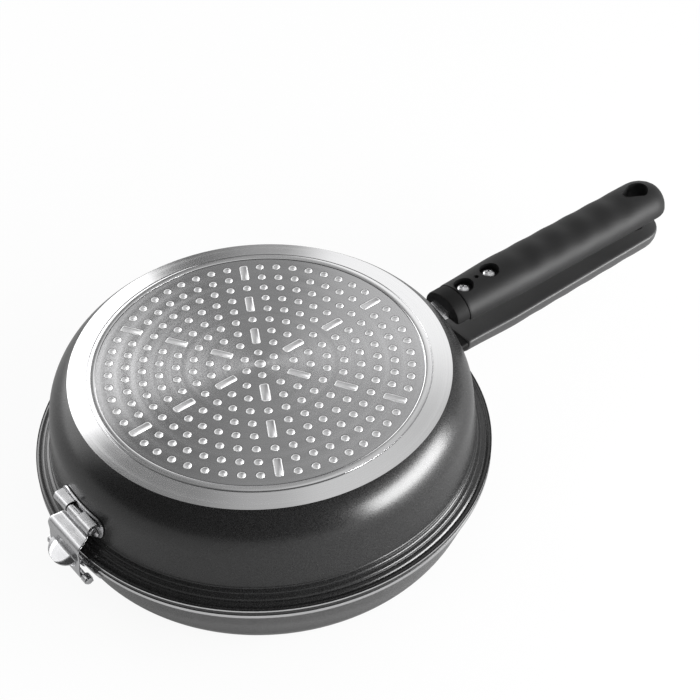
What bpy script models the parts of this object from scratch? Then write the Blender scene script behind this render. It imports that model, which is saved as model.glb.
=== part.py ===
# Tortilla pan: two shallow pans rim to rim, each with a half-round handle, held by a sprung clip.
# Metres, +Z up. The origin is the centre of the lower pan's base, the handles point along +X,
# and the clip is on the -X side.

import math

import bmesh
import bpy
from mathutils import Matrix, Vector

# Clearances
GAP = 0.0003
OVERRUN = 0.0020
MERGE_DISTANCE = 0.000001

# Bowl, shared by both pans
RIM_RADIUS = 0.1200
WALL = 0.0026
BASE_THICKNESS = 0.0045
BASE_INSET = 0.0221
BASE_RADIUS = RIM_RADIUS - BASE_INSET
RING_WIDTH = 0.0104
CREST_RADIUS = BASE_RADIUS - RING_WIDTH
RING_STEP = 0.0003
RING_FALL = 0.0012
TURN_STEPS = 60

# Induction plate let into each base
CREST_WIDTH = 0.0039
PLATE_RADIUS = CREST_RADIUS - CREST_WIDTH
PLATE_THICKNESS = 0.0006
PLATE_MARGIN = 0.00647
PLATE_RINGS = 9
HOLE_PITCH = (PLATE_RADIUS - PLATE_MARGIN) / PLATE_RINGS
SLOT_LENGTH = 0.0124
SLOT_WIDTH = 0.0048
SLOT_CORNER = 0.0014
SLOT_PITCH_SHARES = (2.5, 5.5, 8.5)
SLOT_SPOKES = 6

# Lower bowl
LOWER_DEPTH = 0.0417
BAND_STEP = 0.0003
BAND_HEIGHT = 0.0043
LOWER_SHOULDER = 0.0240
LOWER_SHOULDER_END = math.radians(69)
RIM_LAND = 0.0055
RIM_LIP_DEPTH = 0.0025
RIM_CHAMFER = 0.0004

# Upper bowl
UPPER_DEPTH = 0.0494
UPPER_SHOULDER = 0.0300
UPPER_SHOULDER_END = math.radians(53)
FLARE_HEIGHT = 0.0090
FLARE_REACH = 0.0082
FLANGE_EDGE = 0.0009
FLARE_RIBS = 5
RIB_DEPTH = 0.0005

# Handle grip
COLLAR_OUT = 0.0050
COLLAR_LENGTH = 0.0092
COLLAR_START = RIM_RADIUS + COLLAR_OUT
GRIP_START = COLLAR_START + COLLAR_LENGTH
GRIP_LENGTH = 0.1678
GRIP_END = GRIP_START + GRIP_LENGTH
LOWER_GRIP_STEP = 0.0045
LOWER_GRIP_END = GRIP_END - LOWER_GRIP_STEP
GRIP_RADIUS = 0.0158
GRIP_NEAR_RADIUS = 0.0144
GRIP_EDGE = 0.0016
GRIP_END_ANGLES = [math.radians(degrees) for degrees in (0, 25, 45, 62, 76, 86)]
GRIP_END_POWER = 0.7
WAVE_DEPTH = 0.0006
WAVE_LEAD = 0.0408
WAVE_TAIL = 0.0295
WAVE_COUNT = 5
WAVE_START = GRIP_START + WAVE_LEAD
WAVE_PITCH = (GRIP_END - WAVE_TAIL - WAVE_START) / WAVE_COUNT
UPPER_FLAT_NEAR = 0.0112
UPPER_FLAT_FAR = 0.0080
LOWER_FLAT_NEAR = 0.0042
LOWER_FLAT_FAR = 0.0030
HANG_HOLE_INSET = 0.0220
HANG_HOLE_X = GRIP_END - HANG_HOLE_INSET
HANG_HOLE_LENGTH = 0.0184
HANG_HOLE_WIDTH = 0.0135

# Handle collar, butted to the grip and a little slimmer
COLLAR_STEP = 0.0006
COLLAR_RADIUS = GRIP_NEAR_RADIUS - COLLAR_STEP
COLLAR_INSET = 0.0010

# Handle screws
SCREW_HEAD_RADIUS = 0.0040
SCREW_HEAD_HEIGHT = 0.0020
SCREW_SHANK_RADIUS = 0.0019
SCREW_SINK = 0.0022
SCREW_WALL = 0.0010
SCREW_SPACING = 0.0195
COUNTERBORE_MARGIN = 0.0018
COUNTERBORE_RADIUS = SCREW_HEAD_RADIUS + COUNTERBORE_MARGIN
FRONT_SCREW_X = GRIP_START + SCREW_WALL + COUNTERBORE_RADIUS
SCREW_PLACES = (FRONT_SCREW_X, FRONT_SCREW_X + SCREW_SPACING)
CROSS_LENGTH = 0.0046
CROSS_WIDTH = 0.0010
CROSS_DEPTH = 0.0010
CROSS_TURN = math.radians(36)
PILOT_RADIUS = 0.0013
PILOT_DEPTH = 0.0030

# Handle bracket
TANG_WIDTH = 0.0120
TANG_HEIGHT = 0.0050
TANG_COVER = 0.0007
TANG_INSET = COLLAR_INSET + TANG_COVER + GAP + TANG_HEIGHT / 2
TANG_MARGIN = 0.0135
TANG_END = SCREW_PLACES[-1] + TANG_MARGIN
HANDLE_LEAF_WIDTH = 0.0380
HANDLE_LEAF_HEIGHT = 0.0130
HANDLE_LEAF_CORNER = 0.0030
HANDLE_LEAF_THICKNESS = 0.0020
UPPER_HANDLE_MARGIN = 0.0015
LOWER_HANDLE_MARGIN = 0.0022
UPPER_HANDLE_DROP = FLARE_HEIGHT + UPPER_HANDLE_MARGIN + HANDLE_LEAF_HEIGHT / 2
LOWER_HANDLE_DROP = BAND_HEIGHT + LOWER_HANDLE_MARGIN + HANDLE_LEAF_HEIGHT / 2
HANDLE_RIVET_INSET = 0.0060
HANDLE_RIVET_SPREAD = HANDLE_LEAF_WIDTH / 2 - HANDLE_RIVET_INSET

# Handle rivets
RIVET_SHANK_RADIUS = 0.0016
RIVET_HEAD_RADIUS = 0.0032
RIVET_HEAD_HEIGHT = 0.0014

# Latch clip's sheet
CLIP_THICKNESS = 0.0008
CLIP_WIDTH = 0.0276

# Latch brackets, rivets and pins
LATCH_LEAF_THICKNESS = 0.0010
LATCH_RIVET_SHANK_RADIUS = 0.0013
LATCH_RIVET_HEAD_RADIUS = 0.0024
LATCH_RIVET_HEAD_HEIGHT = 0.0010
PIN_RADIUS = 0.0012
PIN_HEAD_RADIUS = 0.0019
PIN_HEAD_HEIGHT = 0.0006

# Upper latch bracket: a leaf above the flare, its knuckles near the top edge, its rivets under them
UPPER_LEAF_WIDTH = 0.0364
UPPER_LEAF_HEIGHT = 0.0125
UPPER_LEAF_CORNER = 0.0055
UPPER_LEAF_MARGIN = 0.0010
UPPER_LEAF_DROP = FLARE_HEIGHT + UPPER_LEAF_MARGIN + UPPER_LEAF_HEIGHT / 2
UPPER_KNUCKLE_RADIUS = 0.0028
UPPER_KNUCKLE_INNER = 0.0046
UPPER_KNUCKLE_LENGTH = 0.0110
UPPER_KNUCKLE_OUTER = UPPER_KNUCKLE_INNER + UPPER_KNUCKLE_LENGTH
UPPER_PIN_REACH = 0.0029
UPPER_PIN_OUT = RIM_RADIUS - FLARE_REACH + UPPER_PIN_REACH
UPPER_PIN_INSET = 0.0041
UPPER_PIN_RISE = UPPER_LEAF_DROP + UPPER_LEAF_HEIGHT / 2 - UPPER_PIN_INSET
UPPER_LATCH_RIVET_INSET = 0.0050
UPPER_LATCH_RIVET_SPREAD = UPPER_LEAF_WIDTH / 2 - UPPER_LATCH_RIVET_INSET
UPPER_LATCH_RIVET_EDGE = 0.0006
UPPER_LATCH_RIVET_DROP = FLARE_HEIGHT + UPPER_LEAF_MARGIN + LATCH_RIVET_HEAD_RADIUS + UPPER_LATCH_RIVET_EDGE

# Lower catch bracket: a leaf under the band, its knuckles clear of the clip's hook
LOWER_LEAF_WIDTH = 0.0400
LOWER_LEAF_HEIGHT = 0.0090
LOWER_LEAF_CORNER = 0.0042
LOWER_LEAF_MARGIN = 0.0007
LOWER_LEAF_DROP = BAND_HEIGHT + LOWER_LEAF_MARGIN + LOWER_LEAF_HEIGHT / 2
LOWER_KNUCKLE_RADIUS = 0.0024
LOWER_PIN_REACH = 0.0022
LOWER_PIN_OUT = RIM_RADIUS + LOWER_PIN_REACH
LOWER_PIN_INSET = 0.0032
LOWER_PIN_DROP = LOWER_LEAF_DROP + LOWER_LEAF_HEIGHT / 2 - LOWER_PIN_INSET
HOOK_CLEARANCE = 0.0005
LOWER_KNUCKLE_INNER = CLIP_WIDTH / 2 + HOOK_CLEARANCE
LOWER_KNUCKLE_LENGTH = 0.0033
LOWER_KNUCKLE_OUTER = LOWER_KNUCKLE_INNER + LOWER_KNUCKLE_LENGTH
LOWER_LATCH_RIVET_INSET = 0.0062
LOWER_LATCH_RIVET_SPREAD = LOWER_KNUCKLE_INNER - LOWER_LATCH_RIVET_INSET
LOWER_LATCH_RIVET_DROP = BAND_HEIGHT + LOWER_LEAF_MARGIN + LATCH_RIVET_HEAD_RADIUS

# Latch clip's folds, tab and hook. The line goes from the upper pin (0, 0) to the fold (1, 1):
# shares of the way out, of the way down and of the half width.
ROLL_CLEARANCE = 0.0005
ROLL_START = math.radians(-130)
ROLL_END = math.radians(-360)
ROLL_NECK_SHARES = (0.19, 0.15)
CLIP_LINE_SHARES = (
    (0.13, 0.22, 0.54),
    (0.10, 0.355, 0.80),
    (0.145, 0.40, 0.85),
    (0.26, 0.42, 0.87),
    (0.48, 0.445, 0.92),
    (0.67, 0.465, 0.98),
    (0.77, 0.485, 1),
    (0.91, 0.54, 1),
    (0.98, 0.635, 0.995),
    (0.955, 0.775, 0.985),
    (0.955, 0.89, 0.975),
    (1, 1, 0.97),
)
FOLD_INSET = 0.0004
FOLD_DROP = 0.0019
TAB_WIDTH = 0.0210
TAB_LENGTH = 0.0081
TAB_LEAN = math.radians(69)
TAB_STEPS = 8
TAB_SLIT = 0.0004
HOOK_WIDTH_SHARE = 0.91
HOOK_WRAP = math.radians(80)

# Heights that follow
UPPER_RIM_HEIGHT = LOWER_DEPTH + GAP
TOP_HEIGHT = UPPER_RIM_HEIGHT + UPPER_DEPTH
LOWER_FRAME = Matrix.Identity(4)
UPPER_FRAME = Matrix.Translation((0, 0, TOP_HEIGHT)) @ Matrix.Rotation(math.pi, 4, "X")
FRONT_TURN = Matrix.Rotation(math.pi, 4, "Z")

# Finishes: base colour, roughness, metallic
FINISHES = {
    "dark_coat": ((0.035, 0.035, 0.037), 0.38, 0.35),
    "perforated_steel": ((0.56, 0.56, 0.57), 0.32, 1.0),
    "bright_steel": ((0.66, 0.66, 0.67), 0.25, 1.0),
    "black_grip": ((0.018, 0.018, 0.018), 0.45, 0.0),
    "screw_steel": ((0.60, 0.60, 0.60), 0.28, 1.0),
}


def finish(name):
    """The material of that name, made once."""
    material = bpy.data.materials.get(name)
    if material is None:
        colour, roughness, metallic = FINISHES[name]
        material = bpy.data.materials.new(name)
        material.use_nodes = True
        shader = material.node_tree.nodes["Principled BSDF"]
        shader.inputs["Base Color"].default_value = (*colour, 1)
        shader.inputs["Roughness"].default_value = roughness
        shader.inputs["Metallic"].default_value = metallic
    return material


def add_object(name, bm, frame, material=None):
    """Turn a bmesh into an object placed by a frame, its faces pointing out."""
    bmesh.ops.remove_doubles(bm, verts=bm.verts, dist=MERGE_DISTANCE)
    bmesh.ops.recalc_face_normals(bm, faces=bm.faces)
    mesh = bpy.data.meshes.new(name)
    bm.to_mesh(mesh)
    bm.free()
    mesh.shade_smooth()
    mesh.set_sharp_from_angle(angle=math.radians(35))
    piece = bpy.data.objects.new(name, mesh)
    bpy.context.collection.objects.link(piece)
    piece.matrix_world = frame
    if material:
        mesh.materials.append(finish(material))
    else:
        piece.hide_render = True
        piece.display_type = "WIRE"
    return piece


def shape(piece, tool, operation):
    """Cut, join or keep the shared part of a piece with another solid, which then moves with it."""
    boolean = piece.modifiers.new(tool.name, "BOOLEAN")
    boolean.operation = operation
    boolean.object = tool
    if tool.parent is None:
        tool.parent = piece
        tool.matrix_parent_inverse = piece.matrix_world.inverted()


def turned(profile, steps, bm=None, frame=None):
    """Spin a profile of (radius, height) points about Z. It is open at the axis or a closed loop."""
    bm = bm or bmesh.new()
    frame = frame or Matrix.Identity(4)
    verts = [bm.verts.new(frame @ Vector((radius, 0, height))) for radius, height in profile]
    closed = min(radius for radius, height in profile) > 0
    pairs = zip(verts, verts[1:] + verts[:1]) if closed else zip(verts, verts[1:])
    edges = [bm.edges.new(pair) for pair in pairs]
    axis = frame.to_3x3() @ Vector((0, 0, 1))
    bmesh.ops.spin(bm, geom=verts + edges, cent=frame.translation, axis=axis, angle=2 * math.pi,
                   steps=steps, use_merge=True)
    bmesh.ops.remove_doubles(bm, verts=bm.verts, dist=MERGE_DISTANCE)
    return bm


def prism(outline, low, high, frame, bm=None):
    """Extrude an outline of (x, y) points from one height to another in a frame."""
    bm = bm or bmesh.new()
    verts = [bm.verts.new(frame @ Vector((x, y, low))) for x, y in outline]
    face = bm.faces.new(verts)
    made = bmesh.ops.extrude_face_region(bm, geom=[face])
    moved = [item for item in made["geom"] if isinstance(item, bmesh.types.BMVert)]
    bmesh.ops.translate(bm, verts=moved, vec=frame.to_3x3() @ Vector((0, 0, high - low)))
    return bm


def arc(centre, radius, start, end, count):
    """Points along an arc, both ends included."""
    steps = [start + (end - start) * index / (count - 1) for index in range(count)]
    return [(centre[0] + radius * math.cos(angle), centre[1] + radius * math.sin(angle)) for angle in steps]


def rounded_rectangle(length, width, corner, count=3):
    """A rectangle round the origin with round corners, anticlockwise."""
    points = []
    for quarter, (side_x, side_y) in enumerate(((1, 1), (-1, 1), (-1, -1), (1, -1))):
        centre = (side_x * (length / 2 - corner), side_y * (width / 2 - corner))
        start = quarter * math.pi / 2
        points += arc(centre, corner, start, start + math.pi / 2, count)
    return points


class Pan:
    """The sizes of one pan, in its own frame: base on z = 0, rim at its depth."""

    def __init__(self, name, frame, depth, foot, shoulder, shoulder_end, grip_end):
        self.name = name
        self.frame = frame
        self.depth = depth
        self.grip_end = grip_end
        self.foot_radius, foot_drop = foot
        self.foot_height = depth - foot_drop
        self.shoulder = shoulder
        self.shoulder_end = shoulder_end
        self.centre_radius = BASE_RADIUS - shoulder * math.cos(shoulder_end)
        self.centre_height = RING_FALL + shoulder * math.sin(shoulder_end)
        across = self.foot_radius - self.centre_radius
        up = self.foot_height - self.centre_height
        self.tilt = math.acos(shoulder / math.hypot(across, up)) - math.atan2(up, across)

    def wall(self, offset, count=6):
        """The wall's line, moved out by an offset, from the base ring up to the foot of the rim."""
        radius = self.shoulder + offset
        centre = (self.centre_radius, self.centre_height)
        points = arc(centre, radius, -self.shoulder_end, -self.tilt, count)
        return points + [(self.foot_radius + offset / math.cos(self.tilt), self.foot_height)]

    def inner_wall(self, count=6):
        """The inside of the wall, from the foot of the rim down to the inner base."""
        radius = self.shoulder - WALL
        centre = (self.centre_radius, self.centre_height)
        low = math.asin((self.centre_height - BASE_THICKNESS) / radius)
        foot = (self.foot_radius - WALL / math.cos(self.tilt), self.foot_height)
        return [foot] + arc(centre, radius, -self.tilt, -low, count)

    def wall_frame(self, lateral, drop):
        """A frame on the outside of the wall at +X, its Z axis along the wall's outward normal."""
        rise = self.depth - drop
        radius = self.foot_radius - (self.foot_height - rise) * math.tan(self.tilt)
        turn = Matrix.Rotation(math.asin(lateral / radius), 4, "Z")
        lean = Matrix.Rotation(math.pi / 2 + self.tilt, 4, "Y")
        return turn @ Matrix.Translation((radius, 0, rise)) @ lean


def base_profile():
    """The underside of a bowl from the axis out to the ring's edge: plate recess, crest and ring."""
    recess = PLATE_RADIUS + GAP
    return [
        (0, PLATE_THICKNESS + GAP),
        (recess, PLATE_THICKNESS + GAP),
        (recess, 0),
        (CREST_RADIUS, 0),
        (CREST_RADIUS + RING_STEP, RING_STEP),
    ]


def lower_rim(pan):
    """The machined band and the flat land that the upper pan sits on."""
    inner = RIM_RADIUS - RIM_LAND
    return [
        (RIM_RADIUS, pan.foot_height),
        (RIM_RADIUS, pan.depth - RIM_CHAMFER),
        (RIM_RADIUS - RIM_CHAMFER, pan.depth),
        (inner, pan.depth),
        (inner, pan.depth - RIM_LIP_DEPTH),
    ]


def upper_rim(pan):
    """The ribbed flare from the wall to the flange edge, the flat land and the inside of the flare."""
    points = []
    for rib in range(2 * FLARE_RIBS):
        angle = (1 - (rib + 1) / (2 * FLARE_RIBS + 1)) * math.pi / 2
        sunk = RIB_DEPTH * (rib % 2)
        bulge = math.sin(2 * angle) * RIB_DEPTH
        reach = (FLARE_REACH + bulge + sunk) * math.sin(angle)
        height = (FLARE_HEIGHT - FLANGE_EDGE + bulge + sunk) * math.cos(angle)
        points.append((RIM_RADIUS - reach, pan.depth - FLARE_HEIGHT + height))
    points.append((RIM_RADIUS, pan.depth - FLANGE_EDGE))
    points.append((RIM_RADIUS, pan.depth))
    spread = FLARE_REACH + WALL
    tall = FLARE_HEIGHT - FLANGE_EDGE + WALL
    stop = math.acos(FLARE_HEIGHT / tall)
    for index in range(4):
        angle = stop + (math.pi / 2 - stop) * index / 4
        points.append((RIM_RADIUS - spread * math.sin(angle), pan.foot_height + tall * math.cos(angle)))
    return points


def make_bowl(pan, rim, holes):
    """The turned bowl, drilled for its rivets."""
    outer = base_profile() + pan.wall(0)
    profile = outer + rim(pan) + pan.inner_wall() + [(0, BASE_THICKNESS)]
    bowl = add_object(pan.name + "_pan_body", turned(profile, TURN_STEPS), pan.frame, "dark_coat")
    shape(bowl, holes, "DIFFERENCE")
    return bowl


def make_plate(pan):
    """The round steel plate with its radial slots."""
    profile = [(0, 0), (PLATE_RADIUS, 0), (PLATE_RADIUS, PLATE_THICKNESS), (0, PLATE_THICKNESS)]
    plate = add_object(pan.name + "_induction_plate", turned(profile, TURN_STEPS), pan.frame,
                       "perforated_steel")
    outline = rounded_rectangle(SLOT_LENGTH, SLOT_WIDTH, SLOT_CORNER, 2)
    slots = bmesh.new()
    for spoke in range(SLOT_SPOKES):
        turn = Matrix.Rotation(2 * math.pi * spoke / SLOT_SPOKES, 4, "Z")
        for share in SLOT_PITCH_SHARES:
            place = turn @ Matrix.Translation((share * HOLE_PITCH, 0, 0))
            prism(outline, -OVERRUN, PLATE_THICKNESS + OVERRUN, place, slots)
    shape(plate, add_object(pan.name + "_slot_cutter", slots, pan.frame), "DIFFERENCE")
    return plate


def wall_skin(pan, inner, outer):
    """A thin turned shell that follows the outside of the wall between two offsets."""
    return turned(pan.wall(inner) + pan.wall(outer)[::-1], TURN_STEPS)


def wall_plug(pan):
    """The space inside the wall and its clearance, to cut what seats on the wall."""
    profile = [(0, RING_FALL)] + pan.wall(GAP) + [(RIM_RADIUS - FLARE_REACH, pan.depth), (0, pan.depth)]
    return turned(profile, TURN_STEPS)


def block(low, high, bm=None):
    """A box between two corners."""
    outline = [(low[0], low[1]), (high[0], low[1]), (high[0], high[1]), (low[0], high[1])]
    return prism(outline, low[2], high[2], Matrix.Identity(4), bm)


def radial_prism(outline, inner, outer, height):
    """Extrude an outline of (lateral, up) points outward along +X."""
    outward = Matrix(((0, 0, 1, 0), (1, 0, 0, 0), (0, 1, 0, 0), (0, 0, 0, 1)))
    return prism(outline, inner, outer, Matrix.Translation((0, 0, height)) @ outward)


def make_leaf(name, pan, frame, sizes, drop):
    """A sheet leaf that lies on the wall, cut to a rounded outline."""
    width, height, corner, thickness = sizes
    leaf = add_object(name, wall_skin(pan, GAP, GAP + thickness), frame, "bright_steel")
    outline = rounded_rectangle(width, height, corner)
    keep = radial_prism(outline, pan.centre_radius, RIM_RADIUS + width, pan.depth - drop)
    shape(leaf, add_object(name + "_outline", keep, frame), "INTERSECT")
    return leaf


def rivet_sizes(turn):
    """Shank radius, head radius, head height and leaf thickness of a handle or latch rivet."""
    if turn == FRONT_TURN:
        return (LATCH_RIVET_SHANK_RADIUS, LATCH_RIVET_HEAD_RADIUS, LATCH_RIVET_HEAD_HEIGHT,
                LATCH_LEAF_THICKNESS)
    return RIVET_SHANK_RADIUS, RIVET_HEAD_RADIUS, RIVET_HEAD_HEIGHT, HANDLE_LEAF_THICKNESS


def rivet_holes(pan, places):
    """Clearance holes for every rivet of a pan, through leaf and wall."""
    holes = bmesh.new()
    reach = HANDLE_LEAF_THICKNESS + WALL + OVERRUN
    for turn, lateral, drop in places:
        radius = rivet_sizes(turn)[0] + GAP
        profile = [(0, -reach), (radius, -reach), (radius, reach), (0, reach)]
        turned(profile, 10, holes, turn @ pan.wall_frame(lateral, drop))
    return add_object(pan.name + "_rivet_holes", holes, pan.frame)


def make_rivet(name, pan, turn, lateral, drop):
    """A domed rivet through a leaf and the wall, in the wall's own frame."""
    shank, head, head_height, leaf_thickness = rivet_sizes(turn)
    seat = leaf_thickness + 2 * GAP
    inside = -(WALL + GAP)
    angles = [math.pi * index / 6 for index in range(3)]
    dome = [(head * math.cos(angle), head_height * math.sin(angle)) for angle in angles]
    outside = [(radius, seat + rise) for radius, rise in dome]
    within = [(radius, inside - rise) for radius, rise in dome]
    profile = [(0, seat + head_height)] + outside[::-1]
    profile += [(shank, seat), (shank, inside)]
    profile += within + [(0, inside - head_height)]
    frame = turn @ pan.wall_frame(lateral, drop)
    return add_object(name, turned(profile, 10), pan.frame @ frame, "bright_steel")


def grip_flat(drops, depth, x):
    """Height of the grip's flat side at a place along the handle, in the pan's frame."""
    near, far = drops
    share = (x - GRIP_START) / (GRIP_END - GRIP_START)
    return depth - near - (far - near) * share


def half_round(x, flat, radius, tall, edge, count=9):
    """A half-round section at x: flat side up, round side down, with softened corners."""
    points = [Vector((x, radius - edge, flat)), Vector((x, edge - radius, flat))]
    for index in range(count):
        angle = math.pi * index / (count - 1)
        points.append(Vector((x, -radius * math.cos(angle), flat - edge - (tall - edge) * math.sin(angle))))
    return points


def loft(sections):
    """A closed solid through sections of equal point counts."""
    bm = bmesh.new()
    rings = [[bm.verts.new(point) for point in section] for section in sections]
    for ring, following in zip(rings, rings[1:]):
        for index in range(len(ring)):
            after = (index + 1) % len(ring)
            bm.faces.new((ring[index], ring[after], following[after], following[index]))
    bm.faces.new(rings[0])
    bm.faces.new(rings[-1])
    return bm


def grip_radius(x):
    """Radius along the grip: slimmer at the near end, with shallow finger waves."""
    share = min(1, max(0, (x - GRIP_START) / (WAVE_START - GRIP_START)))
    radius = GRIP_NEAR_RADIUS + (GRIP_RADIUS - GRIP_NEAR_RADIUS) * share
    wave_end = WAVE_START + WAVE_COUNT * WAVE_PITCH
    if WAVE_START < x < wave_end:
        phase = 2 * math.pi * (x - WAVE_START) / WAVE_PITCH
        radius -= WAVE_DEPTH * (1 - math.cos(phase)) / 2
    return radius


def grip_sections(drops, depth, grip_end):
    """Half-round sections along the grip, closed by a round far end."""
    sections = []
    stations = [GRIP_START, GRIP_START + GRIP_EDGE]
    stations += [WAVE_START + index * WAVE_PITCH / 4 for index in range(4 * WAVE_COUNT + 1)]
    for x in stations:
        radius = grip_radius(x)
        if x == GRIP_START:
            radius -= GRIP_EDGE / 2
        sections.append(half_round(x, grip_flat(drops, depth, x), radius, radius, GRIP_EDGE))
    for angle in GRIP_END_ANGLES:
        x = grip_end - GRIP_RADIUS * (1 - math.sin(angle))
        across = GRIP_RADIUS * math.cos(angle)
        tall = GRIP_RADIUS * math.cos(angle) ** GRIP_END_POWER
        edge = GRIP_EDGE * math.cos(angle)
        sections.append(half_round(x, grip_flat(drops, depth, x), across, tall, edge))
    return sections


def make_grip(pan, drops):
    """The moulded grip with its tang channel, screw holes and hanging hole."""
    sections = grip_sections(drops, pan.depth, pan.grip_end)
    grip = add_object(pan.name + "_handle_grip", loft(sections), pan.frame, "black_grip")
    tang = grip_flat(drops, pan.depth, GRIP_START) - TANG_INSET
    half_width = TANG_WIDTH / 2 + GAP
    half_height = TANG_HEIGHT / 2 + GAP
    channel = block((GRIP_START - OVERRUN, -half_width, tang - half_height),
                    (TANG_END + GAP, half_width, tang + half_height))
    shape(grip, add_object(pan.name + "_grip_channel", channel, pan.frame), "DIFFERENCE")
    holes = bmesh.new()
    for x in SCREW_PLACES:
        place = Matrix.Translation((x, 0, 0))
        crown = grip_flat(drops, pan.depth, x) - grip_radius(x)
        seat = crown + SCREW_SINK + SCREW_HEAD_HEIGHT + GAP
        wide = COUNTERBORE_RADIUS
        narrow = SCREW_SHANK_RADIUS + GAP
        profile = [(0, crown - OVERRUN), (wide, crown - OVERRUN), (wide, seat), (narrow, seat),
                   (narrow, tang), (0, tang)]
        turned(profile, 16, holes, place)
    middle = sum(SCREW_PLACES) / len(SCREW_PLACES)
    crown = grip_flat(drops, pan.depth, middle) - grip_radius(middle)
    pilot = [(0, crown - OVERRUN), (PILOT_RADIUS, crown - OVERRUN),
             (PILOT_RADIUS, crown + PILOT_DEPTH), (0, crown + PILOT_DEPTH)]
    turned(pilot, 8, holes, Matrix.Translation((middle, 0, 0)))
    shape(grip, add_object(pan.name + "_screw_holes", holes, pan.frame), "DIFFERENCE")
    outline = rounded_rectangle(HANG_HOLE_LENGTH, HANG_HOLE_WIDTH, HANG_HOLE_WIDTH / 2, 4)
    crown = grip_flat(drops, pan.depth, HANG_HOLE_X) - GRIP_RADIUS
    hole = prism(outline, crown - OVERRUN, crown + GRIP_RADIUS + OVERRUN,
                 Matrix.Translation((HANG_HOLE_X, 0, 0)))
    shape(grip, add_object(pan.name + "_hanging_hole", hole, pan.frame), "DIFFERENCE")
    return grip


def make_collar(pan, drops):
    """The collar between bracket and grip."""
    flat = grip_flat(drops, pan.depth, GRIP_START)
    rear = GRIP_START - GAP
    sections = []
    for x, shrink in ((COLLAR_START, GRIP_EDGE), (COLLAR_START + GRIP_EDGE, 0), (rear, 0)):
        radius = COLLAR_RADIUS - shrink
        tall = radius - shrink - COLLAR_INSET
        sections.append(half_round(x, flat - COLLAR_INSET - shrink, radius, tall, GRIP_EDGE))
    collar = add_object(pan.name + "_handle_collar", loft(sections), pan.frame, "black_grip")
    tang = flat - TANG_INSET
    half_width = TANG_WIDTH / 2 + GAP
    half_height = TANG_HEIGHT / 2 + GAP
    way = block((COLLAR_START - OVERRUN, -half_width, tang - half_height),
                (rear + OVERRUN, half_width, tang + half_height))
    shape(collar, add_object(pan.name + "_collar_way", way, pan.frame), "DIFFERENCE")
    return collar


def make_handle_bracket(pan, drops, leaf_drop, holes):
    """The bracket: a leaf on the wall and a tang that runs through the collar into the grip."""
    sizes = (HANDLE_LEAF_WIDTH, HANDLE_LEAF_HEIGHT, HANDLE_LEAF_CORNER, HANDLE_LEAF_THICKNESS)
    bracket = make_leaf(pan.name + "_handle_bracket", pan, pan.frame, sizes, leaf_drop)
    tang = grip_flat(drops, pan.depth, GRIP_START) - TANG_INSET
    half_width = TANG_WIDTH / 2
    half_height = TANG_HEIGHT / 2
    bar = block((BASE_RADIUS, -half_width, tang - half_height), (TANG_END, half_width, tang + half_height))
    tang_bar = add_object(pan.name + "_tang_bar", bar, pan.frame)
    shape(tang_bar, add_object(pan.name + "_tang_seat", wall_plug(pan), pan.frame), "DIFFERENCE")
    shape(bracket, tang_bar, "UNION")
    shape(bracket, holes, "DIFFERENCE")
    bores = bmesh.new()
    radius = SCREW_SHANK_RADIUS + GAP
    for x in SCREW_PLACES:
        profile = [(0, tang - TANG_HEIGHT), (radius, tang - TANG_HEIGHT),
                   (radius, tang + TANG_HEIGHT), (0, tang + TANG_HEIGHT)]
        turned(profile, 12, bores, Matrix.Translation((x, 0, 0)))
    shape(bracket, add_object(pan.name + "_tang_bores", bores, pan.frame), "DIFFERENCE")
    return bracket


def make_handle_screw(name, pan, drops, x):
    """A cross-recess screw, its head sunk in the round side of the grip."""
    crown = grip_flat(drops, pan.depth, x) - grip_radius(x)
    top = crown + SCREW_SINK
    seat = top + SCREW_HEAD_HEIGHT
    tip = grip_flat(drops, pan.depth, GRIP_START) - TANG_INSET + TANG_HEIGHT / 2
    rim = SCREW_HEAD_HEIGHT / 2
    profile = [(0, top), (SCREW_HEAD_RADIUS - rim, top), (SCREW_HEAD_RADIUS, top + rim),
               (SCREW_HEAD_RADIUS, seat), (SCREW_SHANK_RADIUS, seat), (SCREW_SHANK_RADIUS, tip), (0, tip)]
    place = pan.frame @ Matrix.Translation((x, 0, 0))
    screw = add_object(name, turned(profile, 14), place, "screw_steel")
    half_long = CROSS_LENGTH / 2
    half_wide = CROSS_WIDTH / 2
    cross = [(half_long, half_wide), (half_wide, half_wide), (half_wide, half_long),
             (-half_wide, half_long), (-half_wide, half_wide), (-half_long, half_wide),
             (-half_long, -half_wide), (-half_wide, -half_wide), (-half_wide, -half_long),
             (half_wide, -half_long), (half_wide, -half_wide), (half_long, -half_wide)]
    recess = prism(cross, top - OVERRUN, top + CROSS_DEPTH, Matrix.Rotation(CROSS_TURN, 4, "Z"))
    shape(screw, add_object(name + "_recess", recess, place), "DIFFERENCE")
    return screw


def lateral_frame(out, rise):
    """A frame whose Z axis runs along +Y through a point of the XZ plane."""
    turn = Matrix(((1, 0, 0, 0), (0, 0, 1, 0), (0, -1, 0, 0), (0, 0, 0, 1)))
    return Matrix.Translation((out, 0, rise)) @ turn


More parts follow.
